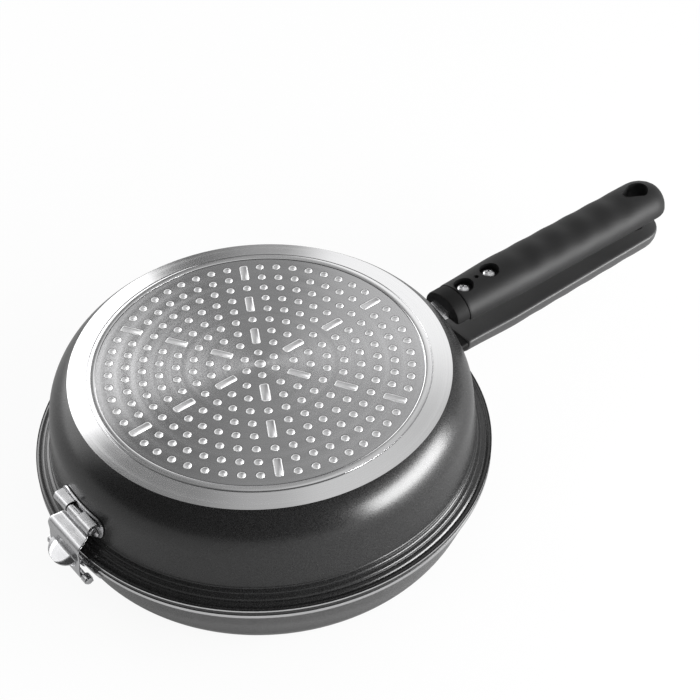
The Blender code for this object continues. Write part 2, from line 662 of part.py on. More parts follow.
def make_latch_bracket(name, pan, leaf, pin, knuckles, holes):
    """A leaf on the wall with two knuckles rolled out of its edge, bored for a pin."""
    frame = pan.frame @ FRONT_TURN
    width, height, corner, leaf_drop = leaf
    bracket = make_leaf(name, pan, frame, (width, height, corner, LATCH_LEAF_THICKNESS), leaf_drop)
    out, rise = pin
    inner, outer, radius = knuckles
    rolled = bmesh.new()
    for side in (-1, 1):
        low, high = sorted((side * inner, side * outer))
        prism(knuckle_outline(out - BASE_RADIUS, radius), low, high, lateral_frame(out, rise), rolled)
    knuckle = add_object(name + "_knuckles", rolled, frame)
    shape(knuckle, add_object(name + "_seat", wall_plug(pan), frame), "DIFFERENCE")
    shape(bracket, knuckle, "UNION")
    bore = PIN_RADIUS + GAP
    profile = [(0, -outer - OVERRUN), (bore, -outer - OVERRUN), (bore, outer + OVERRUN), (0, outer + OVERRUN)]
    cutter = turned(profile, 12, frame=lateral_frame(out, rise))
    shape(bracket, add_object(name + "_bore", cutter, frame), "DIFFERENCE")
    shape(bracket, holes, "DIFFERENCE")
    return bracket


def knuckle_outline(reach, radius):
    """The rolled edge seen along the pin: a round, with a tongue of sheet back to the leaf."""
    low = radius - LATCH_LEAF_THICKNESS
    close = math.asin(low / radius)
    circle = arc((0, 0), radius, math.pi / 2, -math.pi - close, 13)
    return circle + [(-reach, low), (-reach, radius)]


def make_pin(name, frame, out, rise, half_length):
    """A pin along Y with a thin head at each end."""
    head = half_length + GAP
    end = head + PIN_HEAD_HEIGHT
    profile = [(0, -end), (PIN_HEAD_RADIUS, -end), (PIN_HEAD_RADIUS, -head), (PIN_RADIUS, -head),
               (PIN_RADIUS, head), (PIN_HEAD_RADIUS, head), (PIN_HEAD_RADIUS, end), (0, end)]
    return add_object(name, turned(profile, 12, frame=lateral_frame(out, rise)), frame, "bright_steel")


def clip_rows(half, fold):
    """The clip's middle line as ((out, height), half width), from its roll round the pin to the fold."""
    radius = PIN_RADIUS + GAP + CLIP_THICKNESS / 2
    narrow = UPPER_KNUCKLE_INNER - ROLL_CLEARANCE
    pin = (UPPER_PIN_OUT, UPPER_PIN_RISE)
    run = fold[0] - pin[0]
    fall = pin[1] - fold[1]
    rows = [(point, narrow) for point in arc(pin, radius, ROLL_START, ROLL_END, 11)]
    out_share, down_share = ROLL_NECK_SHARES
    rows.append(((pin[0] + run * out_share, pin[1] - fall * down_share), narrow))
    for out_share, down_share, width_share in CLIP_LINE_SHARES:
        rows.append(((pin[0] + run * out_share, pin[1] - fall * down_share), half * width_share))
    return rows


def make_clip(pan_height):
    """The sprung clip: one sheet with a roll, a bend, a ridge, a finger tab cut out of it and a hook."""
    hook = (LOWER_PIN_OUT, -LOWER_PIN_DROP - GAP)
    hook_radius = PIN_RADIUS + GAP + CLIP_THICKNESS / 2
    fold = (hook[0] + hook_radius - FOLD_INSET, -FOLD_DROP)
    rows = clip_rows(CLIP_WIDTH / 2, fold)
    fold_half = rows[-1][1]
    hook_half = CLIP_WIDTH / 2 * HOOK_WIDTH_SHARE
    tab_half = TAB_WIDTH / 2
    hole_half = tab_half + TAB_SLIT
    hole_length = TAB_LENGTH + TAB_SLIT
    bm = bmesh.new()

    def row(point, laterals):
        return [bm.verts.new((point[0], lateral, point[1])) for lateral in laterals]

    def strip(first, second):
        for index in range(len(first) - 1):
            bm.faces.new((first[index], first[index + 1], second[index + 1], second[index]))

    def laterals(edge):
        share = edge / fold_half
        return [-edge, -hole_half * share, -tab_half * share, tab_half * share, hole_half * share, edge]

    grid = [row(point, laterals(edge)) for point, edge in rows]
    for first, second in zip(grid, grid[1:]):
        strip(first, second)
    across_fold = grid[-1]
    previous = across_fold[2:4]
    angles = [math.pi / 2 * index / TAB_STEPS for index in range(1, TAB_STEPS + 1)]
    for angle in angles[:-1]:
        along = TAB_LENGTH * math.sin(angle)
        across = tab_half * math.cos(angle)
        point = (fold[0] + along * math.sin(TAB_LEAN), fold[1] - along * math.cos(TAB_LEAN))
        following = row(point, (-across, across))
        strip(previous, following)
        previous = following
    wrap = arc(hook, hook_radius, 0, -HOOK_WRAP, 5)
    for side in (-1, 1):
        previous = across_fold[4:6] if side > 0 else across_fold[0:2]
        path = []
        for angle in angles:
            share = hole_length * math.sin(angle) / (fold[1] - hook[1])
            point = (fold[0] + FOLD_INSET * share, fold[1] - hole_length * math.sin(angle))
            path.append((point, hole_half * math.cos(angle), fold_half + (hook_half - fold_half) * share))
        path += [(point, 0, hook_half) for point in wrap]
        for point, near, far in path:
            following = row(point, (near, far) if side > 0 else (-far, -near))
            strip(previous, following)
            previous = following
    frame = Matrix.Translation((0, 0, pan_height)) @ FRONT_TURN
    clip = add_object("latch_clip", bm, frame, "bright_steel")
    solidify = clip.modifiers.new("sheet", "SOLIDIFY")
    solidify.thickness = CLIP_THICKNESS
    solidify.offset = 0
    return clip


def make_pan(pan, rim, drops, handle_drop, latch_name, leaf, pin, knuckles, latch_rivet):
    """Every piece of one pan."""
    identity = Matrix.Identity(4)
    spread, latch_rivet_drop = latch_rivet
    places = [(identity, side * HANDLE_RIVET_SPREAD, handle_drop) for side in (-1, 1)]
    places += [(FRONT_TURN, side * spread, latch_rivet_drop) for side in (-1, 1)]
    holes = rivet_holes(pan, places)
    pieces = [make_bowl(pan, rim, holes), make_plate(pan)]
    pieces.append(make_handle_bracket(pan, drops, handle_drop, holes))
    pieces.append(make_collar(pan, drops))
    pieces.append(make_grip(pan, drops))
    for word, x in zip(("front", "rear"), SCREW_PLACES):
        pieces.append(make_handle_screw(pan.name + "_handle_screw_" + word, pan, drops, x))
    bracket = pan.name + "_" + latch_name
    pieces.append(make_latch_bracket(bracket + "_bracket", pan, leaf, pin, knuckles, holes))
    pieces.append(make_pin(bracket + "_pin", pan.frame @ FRONT_TURN, pin[0], pin[1], knuckles[1]))
    names = ("_handle_rivet_left", "_handle_rivet_right")
    names += ("_" + latch_name + "_rivet_left", "_" + latch_name + "_rivet_right")
    for name, (turn, lateral, drop) in zip(names, places):
        pieces.append(make_rivet(pan.name + name, pan, turn, lateral, drop))
    return pieces


def add_pivot(name, point, pieces):
    """An empty on a joint's axis that carries the pieces that turn about it."""
    pivot = bpy.data.objects.new(name, None)
    bpy.context.collection.objects.link(pivot)
    pivot.location = point
    bpy.context.view_layer.update()
    for piece in pieces:
        piece.parent = pivot
        piece.matrix_parent_inverse = pivot.matrix_world.inverted()
    return pivot


def main():
    for item in list(bpy.data.objects):
        bpy.data.objects.remove(item)
    lower = Pan("lower", LOWER_FRAME, LOWER_DEPTH, (RIM_RADIUS - BAND_STEP, BAND_HEIGHT),
                LOWER_SHOULDER, LOWER_SHOULDER_END, LOWER_GRIP_END)
    upper = Pan("upper", UPPER_FRAME, UPPER_DEPTH, (RIM_RADIUS - FLARE_REACH, FLARE_HEIGHT),
                UPPER_SHOULDER, UPPER_SHOULDER_END, GRIP_END)
    lower_drops = (LOWER_FLAT_NEAR, LOWER_FLAT_FAR)
    upper_drops = (UPPER_FLAT_NEAR, UPPER_FLAT_FAR)
    lower_leaf = (LOWER_LEAF_WIDTH, LOWER_LEAF_HEIGHT, LOWER_LEAF_CORNER, LOWER_LEAF_DROP)
    upper_leaf = (UPPER_LEAF_WIDTH, UPPER_LEAF_HEIGHT, UPPER_LEAF_CORNER, UPPER_LEAF_DROP)
    lower_pin = (LOWER_PIN_OUT, LOWER_DEPTH - LOWER_PIN_DROP)
    upper_pin = (UPPER_PIN_OUT, UPPER_DEPTH - UPPER_PIN_RISE)
    lower_knuckles = (LOWER_KNUCKLE_INNER, LOWER_KNUCKLE_OUTER, LOWER_KNUCKLE_RADIUS)
    upper_knuckles = (UPPER_KNUCKLE_INNER, UPPER_KNUCKLE_OUTER, UPPER_KNUCKLE_RADIUS)
    make_pan(lower, lower_rim, lower_drops, LOWER_HANDLE_DROP, "catch", lower_leaf, lower_pin,
             lower_knuckles, (LOWER_LATCH_RIVET_SPREAD, LOWER_LATCH_RIVET_DROP))
    moving = make_pan(upper, upper_rim, upper_drops, UPPER_HANDLE_DROP, "latch", upper_leaf, upper_pin,
                      upper_knuckles, (UPPER_LATCH_RIVET_SPREAD, UPPER_LATCH_RIVET_DROP))
    clip = make_clip(UPPER_RIM_HEIGHT)
    pan_hinge = add_pivot("pan_hinge", (-LOWER_PIN_OUT, 0, LOWER_DEPTH - LOWER_PIN_DROP), moving)
    clip_hinge = add_pivot("clip_hinge", (-UPPER_PIN_OUT, 0, UPPER_RIM_HEIGHT + UPPER_PIN_RISE), [clip])
    clip_hinge.parent = pan_hinge
    clip_hinge.matrix_parent_inverse = pan_hinge.matrix_world.inverted()


main()
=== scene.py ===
# Tortilla pan, two pans held rim to rim by a sprung clip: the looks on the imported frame.
# Metres, +Z up. The handles point along +X and the clip is on the -X side.

import math

import bmesh
import bpy
from mathutils import Matrix, Vector


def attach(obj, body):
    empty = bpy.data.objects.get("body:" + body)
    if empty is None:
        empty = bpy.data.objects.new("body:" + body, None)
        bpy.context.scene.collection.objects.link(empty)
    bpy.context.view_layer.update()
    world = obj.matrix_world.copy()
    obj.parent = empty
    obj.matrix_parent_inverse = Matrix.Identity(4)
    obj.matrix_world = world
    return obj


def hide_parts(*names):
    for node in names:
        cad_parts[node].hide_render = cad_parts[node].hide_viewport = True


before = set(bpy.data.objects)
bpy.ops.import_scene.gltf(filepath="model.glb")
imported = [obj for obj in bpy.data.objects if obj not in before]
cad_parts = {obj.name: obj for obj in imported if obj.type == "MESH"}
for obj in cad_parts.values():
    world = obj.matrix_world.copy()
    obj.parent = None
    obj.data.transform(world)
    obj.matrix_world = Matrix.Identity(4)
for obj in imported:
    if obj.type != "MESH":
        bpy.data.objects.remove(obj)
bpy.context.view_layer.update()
print("frame loaded")

halfTurn = math.pi
quarterTurn = math.pi / 2
fullTurn = 2 * math.pi
identity = Matrix.Identity(4)


# Materials

class Wire:  # a node's output that can be used in sums
    def __init__(self, paint, socket):
        self.paint = paint
        self.socket = socket

    def worked(self, operation, first, second):
        return self.paint.node("ShaderNodeMath", {"operation": operation}, {0: first, 1: second})

    def __add__(self, other):
        return self.worked("ADD", self, other)

    def __radd__(self, other):
        return self.worked("ADD", other, self)

    def __sub__(self, other):
        return self.worked("SUBTRACT", self, other)

    def __rsub__(self, other):
        return self.worked("SUBTRACT", other, self)

    def __mul__(self, other):
        return self.worked("MULTIPLY", self, other)

    def __rmul__(self, other):
        return self.worked("MULTIPLY", other, self)

    def __pow__(self, other):
        return self.worked("POWER", self, other)


class Paint:  # a material with one main shader
    def __init__(self, name, constants):
        self.material = bpy.data.materials.new(name)
        self.material.use_nodes = True
        self.tree = self.material.node_tree
        self.shader = self.tree.nodes["Principled BSDF"]
        for socket, value in constants.items():
            self.shader.inputs[socket].default_value = value

    def node(self, kind, settings, sockets, output=0):
        made = self.tree.nodes.new(kind)
        for name, value in settings.items():
            if name == "stops":
                for element, (place, shade) in zip(made.color_ramp.elements, value):
                    element.position = place
                    element.color = (shade, shade, shade, 1)
            else:
                setattr(made, name, value)
        for name, value in sockets.items():
            self.feed(made.inputs[name], value)
        return Wire(self, made.outputs[output])

    def feed(self, socket, value):
        if isinstance(value, Wire):
            self.tree.links.new(value.socket, socket)
        else:
            socket.default_value = value

    def set(self, socket, value):
        self.feed(self.shader.inputs[socket], value)

    def place(self):
        return self.node("ShaderNodeTexCoord", {}, {}, "Object")

    def noise(self, vector, scale, detail):
        return self.node("ShaderNodeTexNoise", {}, {"Vector": vector, "Scale": scale, "Detail": detail})

    def lines(self, vector, scale, detail):  # rings about the pans' axis
        parts = self.node("ShaderNodeSeparateXYZ", {}, {"Vector": vector})
        across = Wire(self, parts.socket.node.outputs["Y"])
        distance = (parts * parts + across * across) ** 0.5
        settings = {"noise_dimensions": "1D"}
        return self.node("ShaderNodeTexNoise", settings, {"W": distance * scale, "Scale": 1, "Detail": detail})

    def brushed(self, vector, scale, detail):  # streaks along Y
        drawn = self.node("ShaderNodeMapping", {}, {"Vector": vector, "Scale": brushedScale})
        return self.noise(drawn, scale, detail)

    def ramp(self, value, low, high):  # 0 below low and 1 above high
        return self.node("ShaderNodeValToRGB", {"stops": ((low, 0), (high, 1))}, {"Fac": value})

    def mixed(self, factor, first, second):
        sockets = {0: factor, 6: (*first, 1), 7: (*second, 1)}
        return self.node("ShaderNodeMix", {"data_type": "RGBA"}, sockets, 2)

    def bump(self, height, strength, distance):
        sockets = {"Height": height, "Strength": strength, "Distance": distance}
        self.set("Normal", self.node("ShaderNodeBump", {}, sockets))


noiseMiddle = 0.5
brushedScale = (1, 0.08, 1)

coatLook = {
    "constants": {"Metallic": 0.20, "Specular IOR Level": 0.65},
    "layers": {"grain": ("noise", 2600, 2), "cloud": ("noise", 45, 3)},
    "shades": ((0.008, 0.008, 0.0082), (0.042, 0.042, 0.0425)),
    "shadeShares": {"grain": 1},
    "stops": (0.42, 0.80),
    "roughness": 0.27,
    "swings": {"grain": 0.16, "cloud": 0.05},
    "bump": (("grain",), 0.25, 0.00002),
}

turnedLook = {
    "constants": {"Metallic": 1, "Anisotropic": 0.12, "Anisotropic Rotation": 0.25},
    "layers": {"lines": ("lines", 2400, 3), "bands": ("lines", 260, 3), "cloud": ("noise", 70, 3)},
    "shades": ((0.62, 0.62, 0.63), (0.78, 0.78, 0.78)),
    "shadeShares": {"lines": 0.5, "bands": 0.3, "cloud": 0.2},
    "roughness": 0.14,
    "swings": {"bands": 0.10, "cloud": 0.06},
    "bump": (("lines",), 0.20, 0.000006),
}

plateLook = {
    "constants": {"Metallic": 1, "Anisotropic": 0.90, "Anisotropic Rotation": 0.25},
    "layers": {"lines": ("lines", 1700, 3), "bands": ("lines", 210, 3), "speckle": ("noise", 1500, 2)},
    "shades": ((0.40, 0.40, 0.405), (0.57, 0.57, 0.575)),
    "shadeShares": {"lines": 0.4, "bands": 0.3, "speckle": 0.3},
    "roughness": 0.18,
    "swings": {"bands": 0.12, "speckle": 0.10},
    "bump": (("lines", "speckle"), 0.20, 0.000003),
}

# Lighter aluminium for the raised rims of the fills: a painted highlight, so that the rims read bright from
# every side. The darker dish paint below is the fills' own tone.
dotRimHighlightLook = {
    "constants": {"Metallic": 0.6, "Anisotropic": 0.20, "Anisotropic Rotation": 0.25},
    "layers": {"speckle": ("noise", 2200, 2), "cloud": ("noise", 300, 3)},
    "shades": ((0.84, 0.84, 0.85), (0.97, 0.97, 0.97)),
    "shadeShares": {"speckle": 0.6, "cloud": 0.4},
    "roughness": 0.50,
    "swings": {"speckle": 0.16},
    "bump": (("speckle",), 0.25, 0.00002),
}

dishLook = {
    **dotRimHighlightLook,
    "constants": {"Metallic": 0.85, "Anisotropic": 0.40, "Anisotropic Rotation": 0.25},
    "shades": ((0.42, 0.42, 0.43), (0.60, 0.60, 0.60)),
    "roughness": 0.40,
}

# Dark paint for the thin sunk groove round each fill.
outlineLook = {
    "constants": {"Metallic": 0.5},
    "layers": {"speckle": ("noise", 1800, 2)},
    "shades": ((0.05, 0.05, 0.05), (0.16, 0.16, 0.16)),
    "shadeShares": {"speckle": 1},
    "roughness": 0.55,
    "swings": {"speckle": 0.2},
}

nonStickLook = {
    "constants": {"Specular IOR Level": 0.5},
    "layers": {"speckle": ("noise", 1800, 2), "cloud": ("noise", 60, 3)},
    "shades": ((0.018, 0.018, 0.018), (0.10, 0.10, 0.10)),
    "shadeShares": {"speckle": 1},
    "stops": (0.60, 0.76),
    "roughness": 0.42,
    "swings": {"cloud": 0.12},
    "bump": (("speckle",), 0.20, 0.00004),
}

steelLook = {
    "constants": {"Metallic": 1},
    "layers": {"brushed": ("brushed", 2600, 3), "cloud": ("noise", 160, 3)},
    "shades": ((0.50, 0.50, 0.51), (0.68, 0.68, 0.69)),
    "shadeShares": {"brushed": 0.5, "cloud": 0.5},
    "roughness": 0.26,
    "swings": {"brushed": 0.16, "cloud": 0.14},
    "bump": (("brushed",), 0.20, 0.00002),
}

screwLook = {
    "constants": {"Metallic": 1},
    "layers": {"mottle": ("noise", 1200, 3)},
    "shades": ((0.46, 0.46, 0.47), (0.74, 0.74, 0.75)),
    "shadeShares": {"mottle": 1},
    "roughness": 0.24,
    "swings": {"mottle": 0.20},
    "bump": (("mottle",), 0.20, 0.00003),
}

gripLook = {
    "constants": {"Specular IOR Level": 0.20},
    "layers": {"grain": ("noise", 1500, 3), "cloud": ("noise", 55, 3)},
    "shades": ((0.006, 0.006, 0.0062), (0.015, 0.015, 0.0152)),
    "shadeShares": {"grain": 0.5, "cloud": 0.5},
    "roughness": 0.50,
    "swings": {"grain": 0.14, "cloud": 0.08},
    "bump": (("grain",), 0.35, 0.00005),
}

# The upper grip's black material made lighter for the lower grip: painted light, so that it reads as lit
# although the upper grip shades it.
lowerGripLook = {
    **gripLook,
    "constants": {"Specular IOR Level": 0.45},
    "shades": ((0.024, 0.024, 0.0243), (0.048, 0.048, 0.0485)),
    "roughness": 0.46,
}

# Black moulding for the collars, made darker still than the grips: painted shade, since the collars sit in the
# grip's mouth.
collarLook = {
    **gripLook,
    "constants": {"Specular IOR Level": 0.15},
    "shades": ((0.003, 0.003, 0.003), (0.009, 0.009, 0.009)),
    "roughness": 0.62,
}


def makePaint(name, look):  # layers of noise that vary the shade, the roughness and the bump
    paint = Paint(name, look["constants"])
    place = paint.place()
    kinds = {"noise": paint.noise, "lines": paint.lines, "brushed": paint.brushed}
    layers = {word: kinds[kind](place, scale, detail) for word, (kind, scale, detail) in look["layers"].items()}
    shade = sum(layers[word] * share for word, share in look["shadeShares"].items())
    if "stops" in look:
        shade = paint.ramp(shade, *look["stops"])
    paint.set("Base Color", paint.mixed(shade, *look["shades"]))
    swings = sum((layers[word] - noiseMiddle) * swing for word, swing in look["swings"].items())
    paint.set("Roughness", look["roughness"] + swings)
    if "bump" in look:
        words, strength, distance = look["bump"]
        paint.bump(sum(layers[word] for word in words), strength, distance)
    return paint.material


coat = makePaint("darkSatinCoat", coatLook)
turned = makePaint("turnedAluminium", turnedLook)
platePaint = makePaint("turnedSteelPlate", plateLook)
dotRimHighlightPaint = makePaint("aluminiumRimsPaintedHighlight", dotRimHighlightLook)
dishPaint = makePaint("aluminiumDishes", dishLook)
outlinePaint = makePaint("darkGrooveLine", outlineLook)
nonStick = makePaint("nonStickInside", nonStickLook)
steel = makePaint("brightSheetSteel", steelLook)
screwPaint = makePaint("platedScrewSteel", screwLook)
gripPaints = {
    "upper": makePaint("blackMouldedGrip", gripLook),
    "lower": makePaint("lowerGripPaintedLighter", lowerGripLook),
}
collarPaint = makePaint("blackCollarPaintedShade", collarLook)
print("materials made")


# Shaping tools

def turnLine(shape, line, steps, tone=0, place=identity):  # spin a line of (radius, height) about Z
    before = set(shape.faces)
    verts = [shape.verts.new(place @ Vector((radius, 0, height))) for radius, height in line]
    edges = [shape.edges.new(pair) for pair in zip(verts, verts[1:])]
    axis = place.to_3x3() @ Vector((0, 0, 1))
    bmesh.ops.spin(shape, geom=verts + edges, cent=place.translation, axis=axis, angle=fullTurn,
                   steps=steps, use_merge=True)
    for face in shape.faces:
        if face not in before:
            face.material_index = tone


def arcLine(centre, radius, start, end, count):
    angles = [start + (end - start) * index / (count - 1) for index in range(count)]
    return [(centre[0] + radius * math.cos(angle), centre[1] + radius * math.sin(angle)) for angle in angles]


def evenTurns(full, steps):
    return [full * index / steps for index in range(steps + 1)]


def tidied(shape):  # merge doubles and point the faces out
    bmesh.ops.remove_doubles(shape, verts=shape.verts, dist=mergeDistance)
    bmesh.ops.recalc_face_normals(shape, faces=shape.faces)
    return shape


def softened(shape, sizes):  # round the edges that are sharper than an angle
    least = math.radians(sizes["softAngle"])
    sharp = [edge for edge in shape.edges if edge.is_manifold and edge.calc_face_angle() > least]
    bmesh.ops.bevel(shape, geom=sharp, offset=sizes["softEdge"], segments=2, profile=0.5, affect="EDGES",
                    clamp_overlap=True, material=-1)
    return shape


def addPiece(name, shape, place, body, paints, replaced, sharp):
    bmesh.ops.transform(shape, verts=shape.verts, matrix=place)
    mesh = bpy.data.meshes.new(name)
    shape.to_mesh(mesh)
    shape.free()
    mesh.shade_smooth()
    mesh.set_sharp_from_angle(angle=math.radians(sharp))
    for paint in paints:
        mesh.materials.append(paint)
    piece = bpy.data.objects.new(name, mesh)
    bpy.context.collection.objects.link(piece)
    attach(piece, body)
    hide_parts(replaced)
    return piece


def carved(shape, tools):  # cut, join or keep the shared part with other solids, and give the shape back
    holders = []
    for solid in [shape] + [tool for tool, operation in tools]:
        mesh = bpy.data.meshes.new("carving")
        solid.to_mesh(mesh)
        solid.free()
        holder = bpy.data.objects.new("carving", mesh)
        bpy.context.collection.objects.link(holder)
        holders.append(holder)
    for holder, (tool, operation) in zip(holders[1:], tools):
        boolean = holders[0].modifiers.new("carving", "BOOLEAN")
        boolean.operation = operation
        boolean.object = holder
    ready = holders[0].evaluated_get(bpy.context.evaluated_depsgraph_get())
    result = bmesh.new()
    result.from_mesh(ready.data)
    for holder in holders:
        mesh = holder.data
        bpy.data.objects.remove(holder)
        bpy.data.meshes.remove(mesh)
    return result


def joined(shape, other):  # add another shape's faces as they are
    mesh = bpy.data.meshes.new("joining")
    other.to_mesh(mesh)
    other.free()
    shape.from_mesh(mesh)
    bpy.data.meshes.remove(mesh)
    return shape


def prism(shape, outline, low, high, place=identity):  # an outline of (x, y) given a height
    face = shape.faces.new([shape.verts.new((x, y, low)) for x, y in outline])
    made = bmesh.ops.extrude_face_region(shape, geom=[face])["geom"]
    lifted = [item for item in made if isinstance(item, bmesh.types.BMVert)]
    bmesh.ops.translate(shape, verts=lifted, vec=(0, 0, high - low))
    bmesh.ops.transform(shape, verts=list(face.verts) + lifted, matrix=place)
    return shape


def roundedRectangle(length, width, corner, count=6):
    points = []
    for quarter, (sideX, sideY) in enumerate(((1, 1), (-1, 1), (-1, -1), (1, -1))):
        centre = (sideX * (length / 2 - corner), sideY * (width / 2 - corner))
        start = quarter * quarterTurn
        points += arcLine(centre, corner, start, start + quarterTurn, count)
    return points


mergeDistance = 0.000001
angleSlack = 0.001
gap = 0.0003
overrun = 0.0020


# The two bowls. Each is drawn with its base on z = 0 and its rim up, then placed.

bowlSizes = {
    "rimRadius": 0.1200,
    "wall": 0.0026,
    "baseThickness": 0.0045,
    "baseRadius": 0.0979,
    "crestRadius": 0.0875,
    "crestSink": 0.0004,
    "crestGroove": 0.0005,
    "ringStep": 0.0003,
    "ringFall": 0.0012,
    "plateRadius": 0.0836,
    "recessDepth": 0.0009,
    "crestSteps": 12,
    "crestPower": 0.5,
    "ringShares": (0, 0.05, 0.5, 0.95),
    "turnSteps": 224,
    "softEdge": 0.00012,
    "softAngle": 55,
    "sharpAngle": 30,
}

lowerSizes = {
    "depth": 0.0417,
    "footInset": 0.0003,
    "footDrop": 0.0043,
    "shoulder": 0.0240,
    "shoulderEnd": math.radians(69),
    "bandBare": 0.0021,
    "land": 0.0055,
    "lipDepth": 0.0025,
}

upperSizes = {
    "depth": 0.0494,
    "footInset": 0.0082,
    "footDrop": 0.0090,
    "shoulder": 0.0300,
    "shoulderEnd": math.radians(53),
    "edge": 0.0009,
    "beads": 5,
    "beadDepth": 0.0006,
    "beadSteps": 8,
    "insideSteps": 10,
}

upperRimHeight = lowerSizes["depth"] + gap
topHeight = upperRimHeight + upperSizes["depth"]
frames = {
    "lower": identity,
    "upper": Matrix.Translation((0, 0, topHeight)) @ Matrix.Rotation(halfTurn, 4, "X"),
}
frontTurn = Matrix.Rotation(halfTurn, 4, "Z")


class Wall:  # the line of one pan's wall
    def __init__(self, sizes):
        self.depth = sizes["depth"]
        self.footRadius = bowlSizes["rimRadius"] - sizes["footInset"]
        self.footHeight = sizes["depth"] - sizes["footDrop"]
        self.shoulder = sizes["shoulder"]
        self.end = sizes["shoulderEnd"]
        outward = bowlSizes["baseRadius"] - self.shoulder * math.cos(self.end)
        self.centre = (outward, bowlSizes["ringFall"] + self.shoulder * math.sin(self.end))
        across = self.footRadius - self.centre[0]
        up = self.footHeight - self.centre[1]
        self.tilt = math.acos(self.shoulder / math.hypot(across, up)) - math.atan2(up, across)

    def outside(self, offset=0, count=24):
        curve = arcLine(self.centre, self.shoulder + offset, -self.end, -self.tilt, count)
        return curve + [(self.footRadius + offset / math.cos(self.tilt), self.footHeight)]

    def inside(self, count=20):
        radius = self.shoulder - bowlSizes["wall"]
        low = math.asin((self.centre[1] - bowlSizes["baseThickness"]) / radius)
        foot = (self.footRadius - bowlSizes["wall"] / math.cos(self.tilt), self.footHeight)
        return [foot] + arcLine(self.centre, radius, -self.tilt, -low, count)

    def place(self, lateral, drop):  # a frame on the wall at +X whose Z axis points out of it
        rise = self.depth - drop
        radius = self.footRadius - (self.footHeight - rise) * math.tan(self.tilt)
        turn = Matrix.Rotation(math.asin(lateral / radius), 4, "Z")
        lean = Matrix.Rotation(quarterTurn + self.tilt, 4, "Y")
        return turn @ Matrix.Translation((radius, 0, rise)) @ lean


walls = {"lower": Wall(lowerSizes), "upper": Wall(upperSizes)}


def lowerRimLines(sizes, wall):  # the coated edge and land, the bare band under it, then the lip inside
    rim = bowlSizes["rimRadius"]
    inner = rim - sizes["land"]
    step = sizes["footInset"]
    bandEnd = wall.footHeight + sizes["bandBare"]
    bare = [(wall.footRadius, wall.footHeight), (rim, wall.footHeight + step), (rim, bandEnd)]
    coated = [(rim, bandEnd), (rim - step, bandEnd + step), (rim - step, sizes["depth"] - step),
              (rim - 2 * step, sizes["depth"]), (inner, sizes["depth"])]
    return coated, bare, [(inner, sizes["depth"]), (inner, sizes["depth"] - sizes["lipDepth"])]


def upperRimLines(sizes, wall):  # the beaded flare, its bare edge and land, then the inside of the flare
    rim = bowlSizes["rimRadius"]
    tall = sizes["footDrop"] - sizes["edge"]
    count = sizes["beads"] * sizes["beadSteps"]
    flare = []
    for index in range(count + 1):
        share = index / count
        angle = (1 - share) * quarterTurn
        sunk = sizes["beadDepth"] * (1 - abs(math.sin(share * sizes["beads"] * halfTurn)))
        flare.append((rim - (sizes["footInset"] + sunk) * math.sin(angle),
                      wall.footHeight + (tall + sunk) * math.cos(angle)))
    flare[0] = (wall.footRadius, wall.footHeight)
    flare[-1] = (rim, wall.footHeight + tall)
    spread = sizes["footInset"] + bowlSizes["wall"]
    height = tall + bowlSizes["wall"]
    stop = math.acos(sizes["footDrop"] / height)
    turns = [stop + turn for turn in evenTurns(quarterTurn - stop, sizes["insideSteps"])]
    within = [(rim - spread * math.sin(turn), wall.footHeight + height * math.cos(turn)) for turn in turns]
    bare = [flare[-1], (rim, sizes["depth"]), within[0]]
    return flare, bare, within


def crestLine():  # the plate's recess, the rounded crest and the machined ring, whose ends stay crisp
    recess = bowlSizes["plateRadius"] + gap
    crest = bowlSizes["crestRadius"]
    sink = bowlSizes["crestSink"]
    turns = evenTurns(halfTurn, bowlSizes["crestSteps"])
    middle = (recess + crest) / 2
    half = (crest - recess) / 2
    power = bowlSizes["crestPower"]
    crown = [(middle - half * math.cos(turn), sink * (1 - abs(math.sin(turn)) ** power)) for turn in turns]
    groove = bowlSizes["crestGroove"]
    start = Vector((crest + groove, bowlSizes["ringStep"]))
    end = Vector((bowlSizes["baseRadius"], bowlSizes["ringFall"]))
    ring = [tuple(start.lerp(end, share)) for share in bowlSizes["ringShares"]]
    return [(0, bowlSizes["recessDepth"]), (recess, bowlSizes["recessDepth"])] + crown + [
        (crest + groove / 2, sink + groove / 2)] + ring


def makeBowl(name, sizes, rimLines):
    wall = walls[name]
    steps = bowlSizes["turnSteps"]
    base = crestLine()
    outside = wall.outside()
    flare, bare, lip = rimLines(sizes, wall)
    inside = lip + wall.inside() + [(0, bowlSizes["baseThickness"])]
    shape = bmesh.new()
    turnLine(shape, base + outside[:1], steps, 1)
    turnLine(shape, outside, steps, 0)
    turnLine(shape, flare, steps, 0)
    turnLine(shape, bare, steps, 1)
    turnLine(shape, inside, steps, 2)
    tidied(shape)
    softened(shape, bowlSizes)
    return addPiece(name + "Bowl", shape, frames[name], name + "_pan", (coat, turned, nonStick),
                    name + "_pan_body", bowlSizes["sharpAngle"])


makeBowl("lower", lowerSizes, lowerRimLines)
makeBowl("upper", upperSizes, upperRimLines)
print("bowls made")


# The steel plates let into the bases, with round and slotted holes filled by the aluminium

plateSizes = {
    "faceDepth": 0.00030,
    "thickness": 0.0005,
    "rings": 9,
    "pitch": 0.00857,
    "slotRings": (2, 5, 8),
    "slotPitchShares": (2.49, 5.47, 8.50),
    "spokes": 6,
    "dotRadius": 0.0024,
    "centreRadius": 0.0032,
    "slotLength": 0.0124,
    "slotWidth": 0.0048,
    "slotCorner": 0.0014,
    "outlineWidth": 0.00016,
    "outlineDepth": 0.00012,
    "rimSlope": 0.00020,
    "rimRise": 0.00026,
    "rimTop": 0.00012,
    "dishWidth": 0.00020,
    "dishDepth": 0.00015,
    "holeGap": 0.00005,
    "fillSink": 0.00003,
    "dotSegments": 14,
    "cornerSteps": 4,
    "turnSteps": 224,
    "sharpAngle": 50,
}


